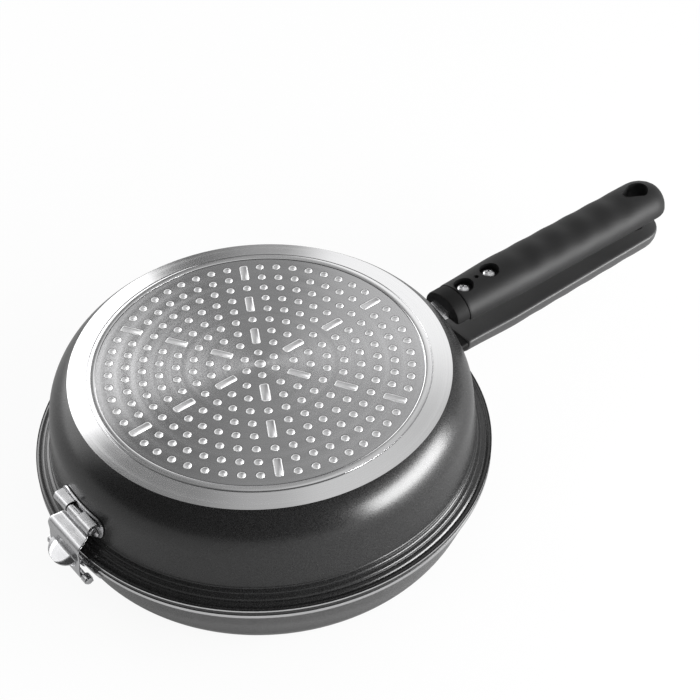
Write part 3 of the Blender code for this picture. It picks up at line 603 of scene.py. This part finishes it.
def platePlaces(sizes):  # every dot as (place, radius) and every slot as a place
    dots = [(Vector((0, 0, 0)), sizes["centreRadius"])]
    slots = []
    skipped = [ring for first in sizes["slotRings"] for ring in (first, first + 1)]
    for ring in range(1, sizes["rings"] + 1):
        for index in range(sizes["spokes"] * ring):
            if ring in skipped and index % ring == 0:
                continue
            turn = Matrix.Rotation(fullTurn * index / (sizes["spokes"] * ring), 4, "Z")
            dots.append((turn @ Vector((ring * sizes["pitch"], 0, 0)), sizes["dotRadius"]))
    for spoke in range(sizes["spokes"]):
        turn = Matrix.Rotation(fullTurn * spoke / sizes["spokes"], 4, "Z")
        for share in sizes["slotPitchShares"]:
            slots.append(turn @ Matrix.Translation((share * sizes["pitch"], 0, 0)))
    return dots, slots


def fillHole(shape, face, sizes):  # a dark groove, a raised rim and a shallow dish, inset from the hole
    steps = (("outlineWidth", -sizes["outlineDepth"]), ("rimSlope", sizes["rimRise"]), ("rimTop", 0),
             ("dishWidth", -sizes["dishDepth"]))
    for width, depth in steps:
        made = bmesh.ops.inset_region(shape, faces=[face], thickness=sizes[width], depth=depth,
                                      use_even_offset=True, use_boundary=True)["faces"]
        # The rim's slope, its top and the dish's slope take the lighter paint, a painted highlight; the groove
        # takes the dark paint and the middle the darker dish paint.
        for side in made:
            side.material_index = 2 if width == "outlineWidth" else 1
    face.material_index = 3


def makePlate(name, sizes):
    dots, slots = platePlaces(sizes)
    slotOutline = roundedRectangle(sizes["slotLength"], sizes["slotWidth"], sizes["slotCorner"],
                                   sizes["cornerSteps"])
    shape = bmesh.new()
    bmesh.ops.create_circle(shape, segments=sizes["turnSteps"], radius=bowlSizes["plateRadius"])
    for place, radius in dots:
        bmesh.ops.create_circle(shape, segments=sizes["dotSegments"], radius=radius,
                                matrix=Matrix.Translation(place))
    for place in slots:
        corners = [shape.verts.new(place @ Vector((x, y, 0))) for x, y in slotOutline]
        for pair in zip(corners, corners[1:] + corners[:1]):
            shape.edges.new(pair)
    outlines = list(shape.edges)
    bmesh.ops.triangle_fill(shape, edges=outlines, use_beauty=True, normal=(0, 0, 1))
    sheet = list(shape.faces)
    raised = bmesh.ops.extrude_face_region(shape, geom=sheet)["geom"]
    lifted = [item for item in raised if isinstance(item, bmesh.types.BMVert)]
    bmesh.ops.translate(shape, verts=lifted, vec=(0, 0, sizes["thickness"]))
    fills = bmesh.new()
    for place, radius in dots:
        bmesh.ops.create_circle(fills, cap_ends=True, segments=sizes["dotSegments"],
                                radius=radius - sizes["holeGap"], matrix=Matrix.Translation(place))
    for place in slots:
        fills.faces.new([fills.verts.new(place @ Vector((x, y, 0))) for x, y in slotOutline])
    for face in list(fills.faces):
        if face.normal.z < 0:
            face.normal_flip()
        fillHole(fills, face, sizes)
    bmesh.ops.translate(fills, verts=fills.verts, vec=(0, 0, sizes["thickness"] - sizes["fillSink"]))
    joined(tidied(shape), fills)
    rise = Matrix.Translation((0, 0, -sizes["faceDepth"] - sizes["thickness"]))
    baseUp = frames[name] @ Matrix.Rotation(halfTurn, 4, "X") @ rise
    paints = (platePaint, dotRimHighlightPaint, outlinePaint, dishPaint)
    return addPiece(name + "Plate", shape, baseUp, name + "_pan", paints,
                    name + "_induction_plate", sizes["sharpAngle"])


makePlate("lower", plateSizes)
makePlate("upper", plateSizes)
print("plates made")


# Handles. Sections are drawn on a unit tube, whose points then move to the real section.

gripSizes = {
    "start": 0.1342,
    "end": 0.3020,
    "shorter": {"upper": 0, "lower": 0.0045},
    "radius": 0.0158,
    "nearRadius": 0.0144,
    "edge": 0.0016,
    "mouth": 0.0009,
    "mouthShare": 0.3,
    "cornerShare": 0.2,
    "endAngles": (12, 24, 36, 47, 57, 66, 74, 80, 85, 88),
    "endPower": 0.75,
    "stations": 60,
    "waveDepth": 0.0008,
    "wavePitch": 0.0195,
    "waveStart": 0.1750,
    "waveCount": 5,
    "upperFlat": (0.0112, 0.0080),
    "lowerFlat": (0.0042, 0.0030),
    "segments": 48,
    "holeX": 0.2800,
    "holeLength": 0.0184,
    "holeWidth": 0.0135,
    "holeTaper": 0.3,
    "holeSteps": (20, 12),
    "sharpAngle": 40,
}

collarSizes = {
    "start": 0.1250,
    "radius": 0.0138,
    "inset": 0.0010,
    "edge": 0.0012,
}

screwSizes = {
    "places": (0.1410, 0.1605),
    "headRadius": 0.0040,
    "headHeight": 0.0020,
    "wellMargin": 0.0018,
    "shankRadius": 0.0019,
    "sink": 0.0022,
    "domePower": 0.6,
    "domeSteps": 12,
    "turnSteps": 36,
    "wellSteps": 40,
    "crossLength": 0.0046,
    "crossWidth": 0.0010,
    "crossDepth": 0.0010,
    "crossTurn": math.radians(36),
    "pilotRadius": 0.0013,
    "pilotDepth": 0.0030,
    "pilotSteps": 24,
    "sharpAngle": 35,
}

tangSizes = {
    "width": 0.0120,
    "height": 0.0050,
    "inset": 0.0045,
    "end": 0.1740,
}


def flatHeight(name, x):  # the flat side of a grip, in its pan's own frame
    near, far = gripSizes[name + "Flat"]
    share = (x - gripSizes["start"]) / (gripSizes["end"] - gripSizes["start"])
    return walls[name].depth - near - (far - near) * share


def gripRadius(x):
    lead = (x - gripSizes["start"]) / (gripSizes["waveStart"] - gripSizes["start"])
    share = min(1, max(0, lead))
    share = share * share * (3 - 2 * share)
    return gripSizes["nearRadius"] + (gripSizes["radius"] - gripSizes["nearRadius"]) * share


def waveDip(x, angle):  # shallow finger waves on the round side, fading towards the flat
    phase = (x - gripSizes["waveStart"]) / gripSizes["wavePitch"]
    if not 0 < phase < gripSizes["waveCount"]:
        return 0
    return gripSizes["waveDepth"] * (1 - math.cos(fullTurn * phase)) / 2 * math.sin(angle) ** 2


def sectionPoint(x, flat, across, tall, edge, angle, name=None):  # half round: flat side up, round side down
    if angle <= halfTurn:
        dip = waveDip(x, angle) if name else 0
        return Vector((x, (across - dip) * math.cos(angle),
                       flat - edge - (tall - edge - dip) * math.sin(angle)))
    share = (angle - halfTurn) / halfTurn
    cornerShare = gripSizes["cornerShare"]
    if share < cornerShare:
        turn = halfTurn - share / cornerShare * quarterTurn
        return Vector((x, edge - across + edge * math.cos(turn), flat - edge + edge * math.sin(turn)))
    if share > 1 - cornerShare:
        turn = (1 - share) / cornerShare * quarterTurn
        return Vector((x, across - edge + edge * math.cos(turn), flat - edge + edge * math.sin(turn)))
    run = (share - cornerShare) / (1 - 2 * cornerShare)
    return Vector((x, (across - edge) * (2 * run - 1), flat))


def sectionTube(stations, segments, sectionAt):  # a capped tube along X, its rings moved to their sections
    shape = bmesh.new()
    turn = Matrix.Rotation(quarterTurn, 4, "Y")
    bmesh.ops.create_cone(shape, cap_ends=True, segments=segments, radius1=1, radius2=1, depth=1, matrix=turn)
    count = len(stations) - 1
    for index in range(1, count):
        geometry = list(shape.verts) + list(shape.edges) + list(shape.faces)
        bmesh.ops.bisect_plane(shape, geom=geometry, plane_co=(index / count - 0.5, 0, 0), plane_no=(1, 0, 0))
    for vert in shape.verts:
        station = stations[round((vert.co.x + 0.5) * count)]
        angle = math.atan2(-vert.co.z, vert.co.y) % fullTurn
        if angle > fullTurn - angleSlack:
            angle = 0
        vert.co = sectionAt(station, angle)
    return tidied(shape)


def gripStations(name):
    start = gripSizes["start"]
    mouth = gripSizes["mouth"]
    straight = gripSizes["end"] - gripSizes["shorter"][name] - gripSizes["radius"]
    lip = mouth * gripSizes["mouthShare"]
    stations = [(start, mouth, 1), (start + lip, lip, 1), (start + mouth, 0, 1)]
    count = gripSizes["stations"]
    reach = straight - start - 2 * mouth
    stations += [(start + 2 * mouth + reach * index / count, 0, 1) for index in range(count + 1)]
    for degrees in gripSizes["endAngles"]:
        angle = math.radians(degrees)
        stations.append((straight + gripSizes["radius"] * math.sin(angle), 0, math.cos(angle)))
    return stations


def makeGrip(name):
    def sectionAt(station, angle):
        x, shrink, share = station
        radius = gripRadius(x) - shrink
        flat = flatHeight(name, x) - shrink
        tall = (radius - shrink) * share ** gripSizes["endPower"]
        return sectionPoint(x, flat, radius * share, tall, gripSizes["edge"] * share, angle, name)

    shape = sectionTube(gripStations(name), gripSizes["segments"], sectionAt)
    start = gripSizes["start"] - overrun
    tang = flatHeight(name, gripSizes["start"]) - tangSizes["inset"]
    halfWide = tangSizes["width"] / 2 + gap
    halfHigh = tangSizes["height"] / 2 + gap
    channel = prism(bmesh.new(), [(start, -halfWide), (tangSizes["end"] + gap, -halfWide),
                                  (tangSizes["end"] + gap, halfWide), (start, halfWide)],
                    tang - halfHigh, tang + halfHigh)
    tools = [(tidied(channel), "DIFFERENCE")]
    for x in screwSizes["places"]:
        crown = flatHeight(name, x) - gripRadius(x)
        seat = crown + screwSizes["sink"] + screwSizes["headHeight"] + gap
        wide = screwSizes["headRadius"] + screwSizes["wellMargin"]
        narrow = screwSizes["shankRadius"] + gap
        well = bmesh.new()
        turnLine(well, [(0, crown - overrun), (wide, crown - overrun), (wide, seat), (narrow, seat),
                        (narrow, tang), (0, tang)], screwSizes["wellSteps"], 0, Matrix.Translation((x, 0, 0)))
        tools.append((tidied(well), "DIFFERENCE"))
    middle = sum(screwSizes["places"]) / len(screwSizes["places"])
    crown = flatHeight(name, middle) - gripRadius(middle)
    bottom = crown + screwSizes["pilotDepth"]
    radius = screwSizes["pilotRadius"]
    pilot = bmesh.new()
    turnLine(pilot, [(0, crown - overrun), (radius, crown - overrun), (radius, bottom), (0, bottom)],
             screwSizes["pilotSteps"], 0, Matrix.Translation((middle, 0, 0)))
    tools.append((tidied(pilot), "DIFFERENCE"))
    half = gripSizes["holeWidth"] / 2
    reach = gripSizes["holeLength"] / 2
    taper = gripSizes["holeTaper"]
    farSteps, nearSteps = gripSizes["holeSteps"]
    outline = arcLine((reach - half, 0), half, -quarterTurn, quarterTurn, farSteps)
    outline += arcLine((half / 2 - reach, 0), half / 2, quarterTurn + taper, 3 * quarterTurn - taper, nearSteps)
    low = flatHeight(name, gripSizes["holeX"]) - gripSizes["radius"] - overrun
    high = low + gripSizes["radius"] + 2 * overrun
    hole = prism(bmesh.new(), outline, low, high, Matrix.Translation((gripSizes["holeX"], 0, 0)))
    tools.append((tidied(hole), "DIFFERENCE"))
    shape = carved(shape, tools)
    return addPiece(name + "Grip", shape, frames[name], name + "_pan", (gripPaints[name],),
                    name + "_handle_grip", gripSizes["sharpAngle"])


def makeCollar(name):
    start = collarSizes["start"]
    edge = collarSizes["edge"]
    flat = flatHeight(name, gripSizes["start"]) - collarSizes["inset"]
    rear = gripSizes["start"] - gap
    lip = edge * gripSizes["mouthShare"]
    stations = [(start, edge), (start + lip, lip), (start + edge, 0), (rear, 0)]

    def sectionAt(station, angle):
        x, shrink = station
        radius = collarSizes["radius"] - shrink
        return sectionPoint(x, flat - shrink, radius, radius - shrink - collarSizes["inset"], gripSizes["edge"],
                            angle)

    shape = sectionTube(stations, gripSizes["segments"], sectionAt)
    return addPiece(name + "Collar", shape, frames[name], name + "_pan", (collarPaint,),
                    name + "_handle_collar", gripSizes["sharpAngle"])


def makeScrew(name, word, x):
    crown = flatHeight(name, x) - gripRadius(x)
    top = crown + screwSizes["sink"]
    seat = top + screwSizes["headHeight"]
    radius = screwSizes["headRadius"]
    shank = screwSizes["shankRadius"]
    tip = flatHeight(name, gripSizes["start"]) - tangSizes["inset"] + tangSizes["height"] / 2
    dome = [(radius * math.sin(turn), seat - (seat - top) * math.cos(turn) ** screwSizes["domePower"])
            for turn in evenTurns(quarterTurn, screwSizes["domeSteps"])]
    shape = bmesh.new()
    turnLine(shape, dome + [(shank, seat), (shank, tip), (0, tip)], screwSizes["turnSteps"])
    tidied(shape)
    far = screwSizes["crossLength"] / 2
    near = screwSizes["crossWidth"] / 2
    quarter = [(far, near), (near, near), (near, far)]
    cross = []
    for index in range(4):
        turn = Matrix.Rotation(screwSizes["crossTurn"] + index * quarterTurn, 2)
        cross += [turn @ Vector(point) for point in quarter]
    arms = prism(bmesh.new(), cross, top - overrun, top + screwSizes["crossDepth"])
    shape = carved(shape, [(tidied(arms), "DIFFERENCE")])
    place = frames[name] @ Matrix.Translation((x, 0, 0))
    return addPiece(name + "Screw" + word.capitalize(), shape, place, name + "_pan", (screwPaint,),
                    name + "_handle_screw_" + word, screwSizes["sharpAngle"])


for name in ("lower", "upper"):
    makeGrip(name)
    makeCollar(name)
    for word, x in zip(("front", "rear"), screwSizes["places"]):
        makeScrew(name, word, x)
print("handles made")


# Sheet brackets on the walls, their rivets, knuckles and pins

leafSizes = {
    "handle": {"width": 0.0380, "height": 0.0130, "thickness": 0.0020, "corner": 0.0030},
    "upperLatch": {"width": 0.0364, "height": 0.0125, "thickness": 0.0010, "corner": 0.0055},
    "lowerLatch": {"width": 0.0400, "height": 0.0090, "thickness": 0.0010, "corner": 0.0042},
    "steps": 200,
    "softEdge": 0.0002,
    "softAngle": 50,
    "sharpAngle": 40,
}

bracketSizes = {
    "upperHandleDrop": 0.0170,
    "lowerHandleDrop": 0.0130,
    "handleRivetSpread": 0.0130,
    "upperLatchDrop": 0.01625,
    "lowerLatchDrop": 0.0095,
    "upperRivet": (0.0132, 0.0130),
    "lowerRivet": (0.0081, 0.0074),
}

rivetSizes = {
    "handle": {"shankRadius": 0.0016, "headRadius": 0.0032, "headHeight": 0.0014},
    "latch": {"shankRadius": 0.0013, "headRadius": 0.0024, "headHeight": 0.0010},
    "steps": 28,
    "domeSteps": 8,
    "sharpAngle": 35,
}

pinSizes = {
    "radius": 0.0012,
    "headRadius": 0.0019,
    "headHeight": 0.0006,
    "upperOut": 0.1147,
    "upperRise": 0.0184,
    "upperKnuckle": (0.0046, 0.0156, 0.0028),
    "lowerOut": 0.1222,
    "lowerDrop": 0.0108,
    "lowerKnuckle": (0.0143, 0.0176, 0.0024),
    "steps": 24,
    "softEdge": 0.00015,
    "softAngle": 60,
    "sharpAngle": 35,
}


def makeLeaf(name, kind, drop):
    sizes = leafSizes[kind]
    wall = walls[name]
    line = wall.outside(gap) + wall.outside(gap + sizes["thickness"])[::-1]
    shell = bmesh.new()
    turnLine(shell, line + line[:1], leafSizes["steps"])
    tidied(shell)
    outline = roundedRectangle(sizes["width"], sizes["height"], sizes["corner"])
    outward = Matrix(((0, 0, 1, 0), (1, 0, 0, 0), (0, 1, 0, 0), (0, 0, 0, 1)))
    place = Matrix.Translation((0, 0, wall.depth - drop)) @ outward
    keep = prism(bmesh.new(), outline, wall.centre[0], bowlSizes["rimRadius"] + sizes["width"], place)
    leaf = carved(shell, [(tidied(keep), "INTERSECT")])
    return softened(leaf, leafSizes)


def makeHandleBracket(name):
    shape = makeLeaf(name, "handle", bracketSizes[name + "HandleDrop"])
    tang = flatHeight(name, gripSizes["start"]) - tangSizes["inset"]
    half = tangSizes["width"] / 2
    low = bowlSizes["rimRadius"] - upperSizes["footInset"] / 2
    bar = prism(bmesh.new(), [(low, -half), (tangSizes["end"], -half), (tangSizes["end"], half), (low, half)],
                tang - tangSizes["height"] / 2, tang + tangSizes["height"] / 2)
    shape = carved(shape, [(tidied(bar), "UNION")])
    return addPiece(name + "HandleBracket", shape, frames[name], name + "_pan", (steel,),
                    name + "_handle_bracket", leafSizes["sharpAngle"])


def lateralPlace(out, rise):  # Z runs along +Y through a point of the XZ plane
    turn = Matrix(((1, 0, 0, 0), (0, 0, 1, 0), (0, -1, 0, 0), (0, 0, 0, 1)))
    return Matrix.Translation((out, 0, rise)) @ turn


def makeLatchBracket(name, word, out, rise):
    shape = makeLeaf(name, name + "Latch", bracketSizes[name + "LatchDrop"])
    inner, outer, radius = pinSizes[name + "Knuckle"]
    bore = pinSizes["radius"] + gap
    thickness = leafSizes[name + "Latch"]["thickness"]
    place = lateralPlace(out, rise)
    for side in (-1, 1):
        low, high = sorted((side * inner, side * outer))
        knuckle = bmesh.new()
        turnLine(knuckle, [(bore, low), (radius, low), (radius, high), (bore, high), (bore, low)],
                 pinSizes["steps"], 0, place)
        reach = out - walls[name].footRadius
        tongue = [(-reach, radius - thickness), (0, radius - thickness), (0, radius), (-reach, radius)]
        joined(shape, tidied(knuckle))
        joined(shape, tidied(prism(bmesh.new(), tongue, low, high, place)))
    return addPiece(name + "LatchBracket", shape, frames[name] @ frontTurn, name + "_pan", (steel,),
                    name + "_" + word + "_bracket", leafSizes["sharpAngle"])


def makePin(name, word, out, rise):
    head = pinSizes[name + "Knuckle"][1] + gap
    end = head + pinSizes["headHeight"]
    radius = pinSizes["radius"]
    wide = pinSizes["headRadius"]
    shape = bmesh.new()
    turnLine(shape, [(0, -end), (wide, -end), (wide, -head), (radius, -head), (radius, head), (wide, head),
                     (wide, end), (0, end)], pinSizes["steps"], 0, lateralPlace(out, rise))
    tidied(shape)
    softened(shape, pinSizes)
    return addPiece(name + "LatchPin", shape, frames[name] @ frontTurn, name + "_pan", (steel,),
                    name + "_" + word + "_pin", pinSizes["sharpAngle"])


def makeRivet(name, word, turn, lateral, drop, kind, leaf):
    sizes = rivetSizes[kind]
    seat = leafSizes[leaf]["thickness"] + 2 * gap
    within = -(bowlSizes["wall"] + gap)
    radius = sizes["headRadius"]
    rise = sizes["headHeight"]
    turns = evenTurns(quarterTurn, rivetSizes["domeSteps"])
    dome = [(radius * math.sin(angle), rise * math.cos(angle)) for angle in turns]
    outer = [(across, seat + up) for across, up in dome]
    inner = [(across, within - up) for across, up in dome]
    shank = sizes["shankRadius"]
    shape = bmesh.new()
    turnLine(shape, outer + [(shank, seat), (shank, within)] + inner[::-1], rivetSizes["steps"])
    tidied(shape)
    place = frames[name] @ turn @ walls[name].place(lateral, drop)
    pieceName = name + "".join(part.capitalize() for part in word.split("_"))
    return addPiece(pieceName, shape, place, name + "_pan", (steel,), name + "_" + word,
                    rivetSizes["sharpAngle"])


pinPlaces = {
    "lower": (pinSizes["lowerOut"], lowerSizes["depth"] - pinSizes["lowerDrop"]),
    "upper": (pinSizes["upperOut"], upperSizes["depth"] - pinSizes["upperRise"]),
}
for name, latchWord in (("lower", "catch"), ("upper", "latch")):
    makeHandleBracket(name)
    makeLatchBracket(name, latchWord, *pinPlaces[name])
    makePin(name, latchWord, *pinPlaces[name])
    for side, sideWord in ((-1, "left"), (1, "right")):
        makeRivet(name, "handle_rivet_" + sideWord, identity, side * bracketSizes["handleRivetSpread"],
                  bracketSizes[name + "HandleDrop"], "handle", "handle")
        spread, drop = bracketSizes[name + "Rivet"]
        makeRivet(name, latchWord + "_rivet_" + sideWord, frontTurn, side * spread, drop, "latch",
                  name + "Latch")
print("brackets, rivets and pins made")


# The sprung clip: one sheet with a roll, a bend, a ridge, a finger tab cut out of it and a hook.
# Its line from the upper pin to the fold is in shares of the way out, the way down and the half width.

clipSizes = {
    "thickness": 0.0008,
    "width": 0.0276,
    "rollClearance": 0.0005,
    "rollStart": math.radians(-130),
    "rollEnd": math.radians(-360),
    "rollCount": 13,
    "neckShares": (0.19, 0.15),
    "lineShares": (
        (0.13, 0.22, 0.54),
        (0.10, 0.355, 0.80),
        (0.145, 0.40, 0.85),
        (0.26, 0.42, 0.87),
        (0.48, 0.445, 0.92),
        (0.67, 0.465, 0.98),
        (0.77, 0.485, 1),
        (0.91, 0.54, 1),
        (0.98, 0.635, 0.995),
        (0.955, 0.775, 0.985),
        (0.955, 0.89, 0.975),
        (1, 1, 0.97),
    ),
    "foldInset": 0.0004,
    "foldDrop": 0.0019,
    "tabWidth": 0.0210,
    "tabLength": 0.0081,
    "tabLean": math.radians(69),
    "tabSteps": 8,
    "slit": 0.0004,
    "hookWidthShare": 0.91,
    "hookWrap": math.radians(80),
    "hookCount": 5,
    "smoothLevels": 2,
    "sharpAngle": 60,
}


def clipRows(sizes, half, fold):  # the sheet's middle line as ((out, height), half width)
    radius = pinSizes["radius"] + gap + sizes["thickness"] / 2
    narrow = pinSizes["upperKnuckle"][0] - sizes["rollClearance"]
    pin = (pinSizes["upperOut"], pinSizes["upperRise"])
    run = fold[0] - pin[0]
    fall = pin[1] - fold[1]
    roll = arcLine(pin, radius, sizes["rollStart"], sizes["rollEnd"], sizes["rollCount"])
    rows = [(point, narrow) for point in roll]
    neckOut, neckDown = sizes["neckShares"]
    rows.append(((pin[0] + run * neckOut, pin[1] - fall * neckDown), narrow))
    for outShare, downShare, widthShare in sizes["lineShares"]:
        rows.append(((pin[0] + run * outShare, pin[1] - fall * downShare), half * widthShare))
    return rows


def extrudeRow(shape, edges, point, laterals):  # pull a row of edges to the next line of the sheet
    made = bmesh.ops.extrude_edge_only(shape, edges=edges)["geom"]
    verts = sorted((item for item in made if isinstance(item, bmesh.types.BMVert)), key=lambda vert: vert.co.y)
    for vert, lateral in zip(verts, laterals):
        vert.co = (point[0], lateral, point[1])
    return [item for item in made if isinstance(item, bmesh.types.BMEdge)]


def makeClip(sizes):
    half = sizes["width"] / 2
    hook = (pinSizes["lowerOut"], -pinSizes["lowerDrop"] - gap)
    hookRadius = pinSizes["radius"] + gap + sizes["thickness"] / 2
    fold = (hook[0] + hookRadius - sizes["foldInset"], -sizes["foldDrop"])
    rows = clipRows(sizes, half, fold)
    foldHalf = rows[-1][1]
    hookHalf = half * sizes["hookWidthShare"]
    tabHalf = sizes["tabWidth"] / 2
    holeHalf = tabHalf + sizes["slit"]
    holeLength = sizes["tabLength"] + sizes["slit"]

    def laterals(edge):
        share = edge / foldHalf
        return [-edge, -holeHalf * share, -tabHalf * share, tabHalf * share, holeHalf * share, edge]

    shape = bmesh.new()
    point, edge = rows[0]
    verts = [shape.verts.new((point[0], lateral, point[1])) for lateral in laterals(edge)]
    edges = [shape.edges.new(pair) for pair in zip(verts, verts[1:])]
    for point, edge in rows[1:]:
        edges = extrudeRow(shape, edges, point, laterals(edge))
    across = sorted(edges, key=lambda item: sum(vert.co.y for vert in item.verts))
    tab = [across[2]]
    turns = evenTurns(quarterTurn, sizes["tabSteps"])[1:]
    for turn in turns[:-1]:
        along = sizes["tabLength"] * math.sin(turn)
        wide = tabHalf * math.cos(turn)
        point = (fold[0] + along * math.sin(sizes["tabLean"]), fold[1] - along * math.cos(sizes["tabLean"]))
        tab = extrudeRow(shape, tab, point, (-wide, wide))
    path = []
    for turn in turns:
        share = holeLength * math.sin(turn) / (fold[1] - hook[1])
        point = (fold[0] + sizes["foldInset"] * share, fold[1] - holeLength * math.sin(turn))
        path.append((point, holeHalf * math.cos(turn), foldHalf + (hookHalf - foldHalf) * share))
    hookLine = arcLine(hook, hookRadius, 0, -sizes["hookWrap"], sizes["hookCount"])
    path += [(point, 0, hookHalf) for point in hookLine]
    for side, strip in ((-1, [across[0]]), (1, [across[4]])):
        for point, near, far in path:
            strip = extrudeRow(shape, strip, point, sorted((side * near, side * far)))
    tidied(shape)
    place = Matrix.Translation((0, 0, upperRimHeight)) @ frontTurn
    clip = addPiece("latchClip", shape, place, "latch", (steel,), "latch_clip",
                    sizes["sharpAngle"])
    smooth = clip.modifiers.new("smooth", "SUBSURF")
    smooth.levels = sizes["smoothLevels"]
    smooth.render_levels = sizes["smoothLevels"]
    smooth.boundary_smooth = "PRESERVE_CORNERS"
    sheet = clip.modifiers.new("sheet", "SOLIDIFY")
    sheet.thickness = sizes["thickness"]
    sheet.offset = 0
    return clip


makeClip(clipSizes)
print("clip made")


# Camera, floor, world and lamps

viewSizes = {
    "place": (-0.32248, -0.47611, 0.62820),
    "right": (0.77462, -0.63235, -0.010365),
    "down": (-0.43463, -0.52035, -0.73507),
    "ahead": (0.45943, 0.57391, -0.67791),
    "lens": 79.39,
    "sensor": 36,
    "clipStart": 0.05,
    "clipEnd": 30,
}


def makeCamera(sizes):
    data = bpy.data.cameras.new("photoCamera")
    data.lens = sizes["lens"]
    data.sensor_width = sizes["sensor"]
    data.clip_start = sizes["clipStart"]
    data.clip_end = sizes["clipEnd"]
    camera = bpy.data.objects.new("photoCamera", data)
    bpy.context.collection.objects.link(camera)
    axes = Matrix((sizes["right"], -Vector(sizes["down"]), -Vector(sizes["ahead"]))).transposed()
    camera.matrix_world = Matrix.Translation(sizes["place"]) @ axes.to_4x4()
    bpy.context.scene.camera = camera


floorSizes = {
    "half": 6.0,
    "squares": 4,
    "constants": {"Base Color": (0.86, 0.86, 0.86, 1), "Roughness": 0.9, "Specular IOR Level": 0},
    "glowShare": 0.92,
    "mirroredShare": 0.5,
    "mirroredGlow": 0.4,
}


def makeFloor(sizes):
    shape = bmesh.new()
    bmesh.ops.create_grid(shape, x_segments=sizes["squares"], y_segments=sizes["squares"], size=sizes["half"])
    mesh = bpy.data.meshes.new("floor")
    shape.to_mesh(mesh)
    shape.free()
    paint = Paint("paleFloor", sizes["constants"])
    rays = paint.node("ShaderNodeLightPath", {}, {}, "Is Camera Ray")
    glossy = Wire(paint, rays.socket.node.outputs["Is Glossy Ray"])
    glow = paint.node("ShaderNodeEmission", {}, {"Color": (1, 1, 1, 1), "Strength": 1})
    surface = Wire(paint, paint.shader.outputs[0])
    dim = paint.node("ShaderNodeEmission", {}, {"Color": (1, 1, 1, 1), "Strength": sizes["mirroredGlow"]})
    surface = paint.node("ShaderNodeMixShader", {}, {0: glossy * sizes["mirroredShare"], 1: surface, 2: dim})
    mix = paint.node("ShaderNodeMixShader", {}, {0: rays * sizes["glowShare"], 1: surface, 2: glow})
    output = paint.tree.nodes["Material Output"]
    paint.feed(output.inputs["Surface"], mix)
    mesh.materials.append(paint.material)
    floor = bpy.data.objects.new("floor", mesh)
    bpy.context.collection.objects.link(floor)


skyLook = {
    "fill": 0.60,
    "front": 0.06,
    "base": 0.11,
    "back": (-0.05, 0.30),
    "left": (2.30, 0.195, 0.212),
    "leftTop": (0.70, 0.76),
    "middle": (0.26, -0.15, -0.07),
    "right": (0.85, -0.03, 0.02),
    "rightTop": (0.62, 0.74),
    "rightEnd": (0.36, 0.50),
    "topShare": 0.7,
    "high": (0.12, 0.74, 0.84),
}


class Sky:  # sums on the world's nodes, built in the same way as a paint's
    def __init__(self, name):
        self.world = bpy.data.worlds.new(name)
        self.world.use_nodes = True
        self.tree = self.world.node_tree

    node = Paint.node
    feed = Paint.feed

    def along(self, vector, way):  # how far a direction goes along a way
        return self.node("ShaderNodeVectorMath", {"operation": "DOT_PRODUCT"}, {0: vector, 1: way}, "Value")

    def eased(self, value, low, high):  # 0 below low, 1 above high
        sockets = {"Value": value, "From Min": low, "From Max": high}
        return self.node("ShaderNodeMapRange", {"interpolation_type": "SMOOTHSTEP"}, sockets)


def makeWorld(look):
    sky = Sky("studio")
    bpy.context.scene.world = sky.world
    vector = sky.node("ShaderNodeTexCoord", {}, {}, "Generated")
    across = sky.along(vector, lampSizes["rightWay"])
    height = sky.along(vector, (0, 0, 1))
    back = sky.eased(sky.along(vector, lampSizes["backWay"]), *look["back"])
    leftStrength, leftFrom, leftTo = look["left"]
    left = sky.eased(0 - across, leftFrom, leftTo) * (1 - sky.eased(height, *look["leftTop"])) * leftStrength
    middleStrength, middleFrom, middleTo = look["middle"]
    middle = sky.eased(across, middleFrom, middleTo) * middleStrength
    rightStrength, rightFrom, rightTo = look["right"]
    fading = 1 - sky.eased(height, *look["rightTop"]) * look["topShare"]
    ending = 1 - sky.eased(across, *look["rightEnd"])
    right = sky.eased(across, rightFrom, rightTo) * fading * ending * rightStrength
    highStrength, highFrom, highTo = look["high"]
    high = sky.eased(height, highFrom, highTo) * highStrength
    mirrored = look["front"] + back * (look["base"] + left + middle + right + high)
    rays = sky.node("ShaderNodeLightPath", {}, {}, "Is Glossy Ray")
    seen = Wire(sky, rays.socket.node.outputs["Is Camera Ray"])
    light = rays * mirrored + (1 - rays) * look["fill"]
    strength = seen + (1 - seen) * light
    background = sky.tree.nodes["Background"]
    sky.feed(background.inputs["Strength"], strength)
    background.inputs["Color"].default_value = (1, 1, 1, 1)


lampSizes = {
    "centre": (0.030, 0, 0.045),
    "rightWay": (0.7746, -0.6324, 0),
    "backWay": (0.6249, 0.7807, 0),
    "left": {"turn": -47, "lift": 26, "reach": 1.6, "size": (0.90, 0.75), "radiance": 3.4},
    "side": {"turn": 106, "lift": 11, "reach": 1.2, "size": (1.10, 0.46), "radiance": 21.0},
}


def makeLamp(name, sizes):  # a softbox at a turn from straight behind the pan and a lift above the floor
    lamp = sizes[name]
    width, height = lamp["size"]
    data = bpy.data.lights.new(name + "Softbox", "AREA")
    data.shape = "RECTANGLE"
    data.size, data.size_y = lamp["size"]
    data.energy = lamp["radiance"] * halfTurn * width * height
    piece = bpy.data.objects.new(name + "Softbox", data)
    bpy.context.collection.objects.link(piece)
    turn = math.radians(lamp["turn"])
    lift = math.radians(lamp["lift"])
    level = Vector(sizes["rightWay"]) * math.sin(turn) + Vector(sizes["backWay"]) * math.cos(turn)
    away = (level * math.cos(lift) + Vector((0, 0, math.sin(lift)))) * lamp["reach"]
    piece.location = Vector(sizes["centre"]) + away
    piece.rotation_mode = "QUATERNION"
    piece.rotation_quaternion = (-away).to_track_quat("-Z", "Y")


makeCamera(viewSizes)
makeFloor(floorSizes)
makeWorld(skyLook)
for name in ("left", "side"):
    makeLamp(name, lampSizes)
bpy.context.scene.view_settings.view_transform = "Standard"
print("camera, floor, world and lamps made")
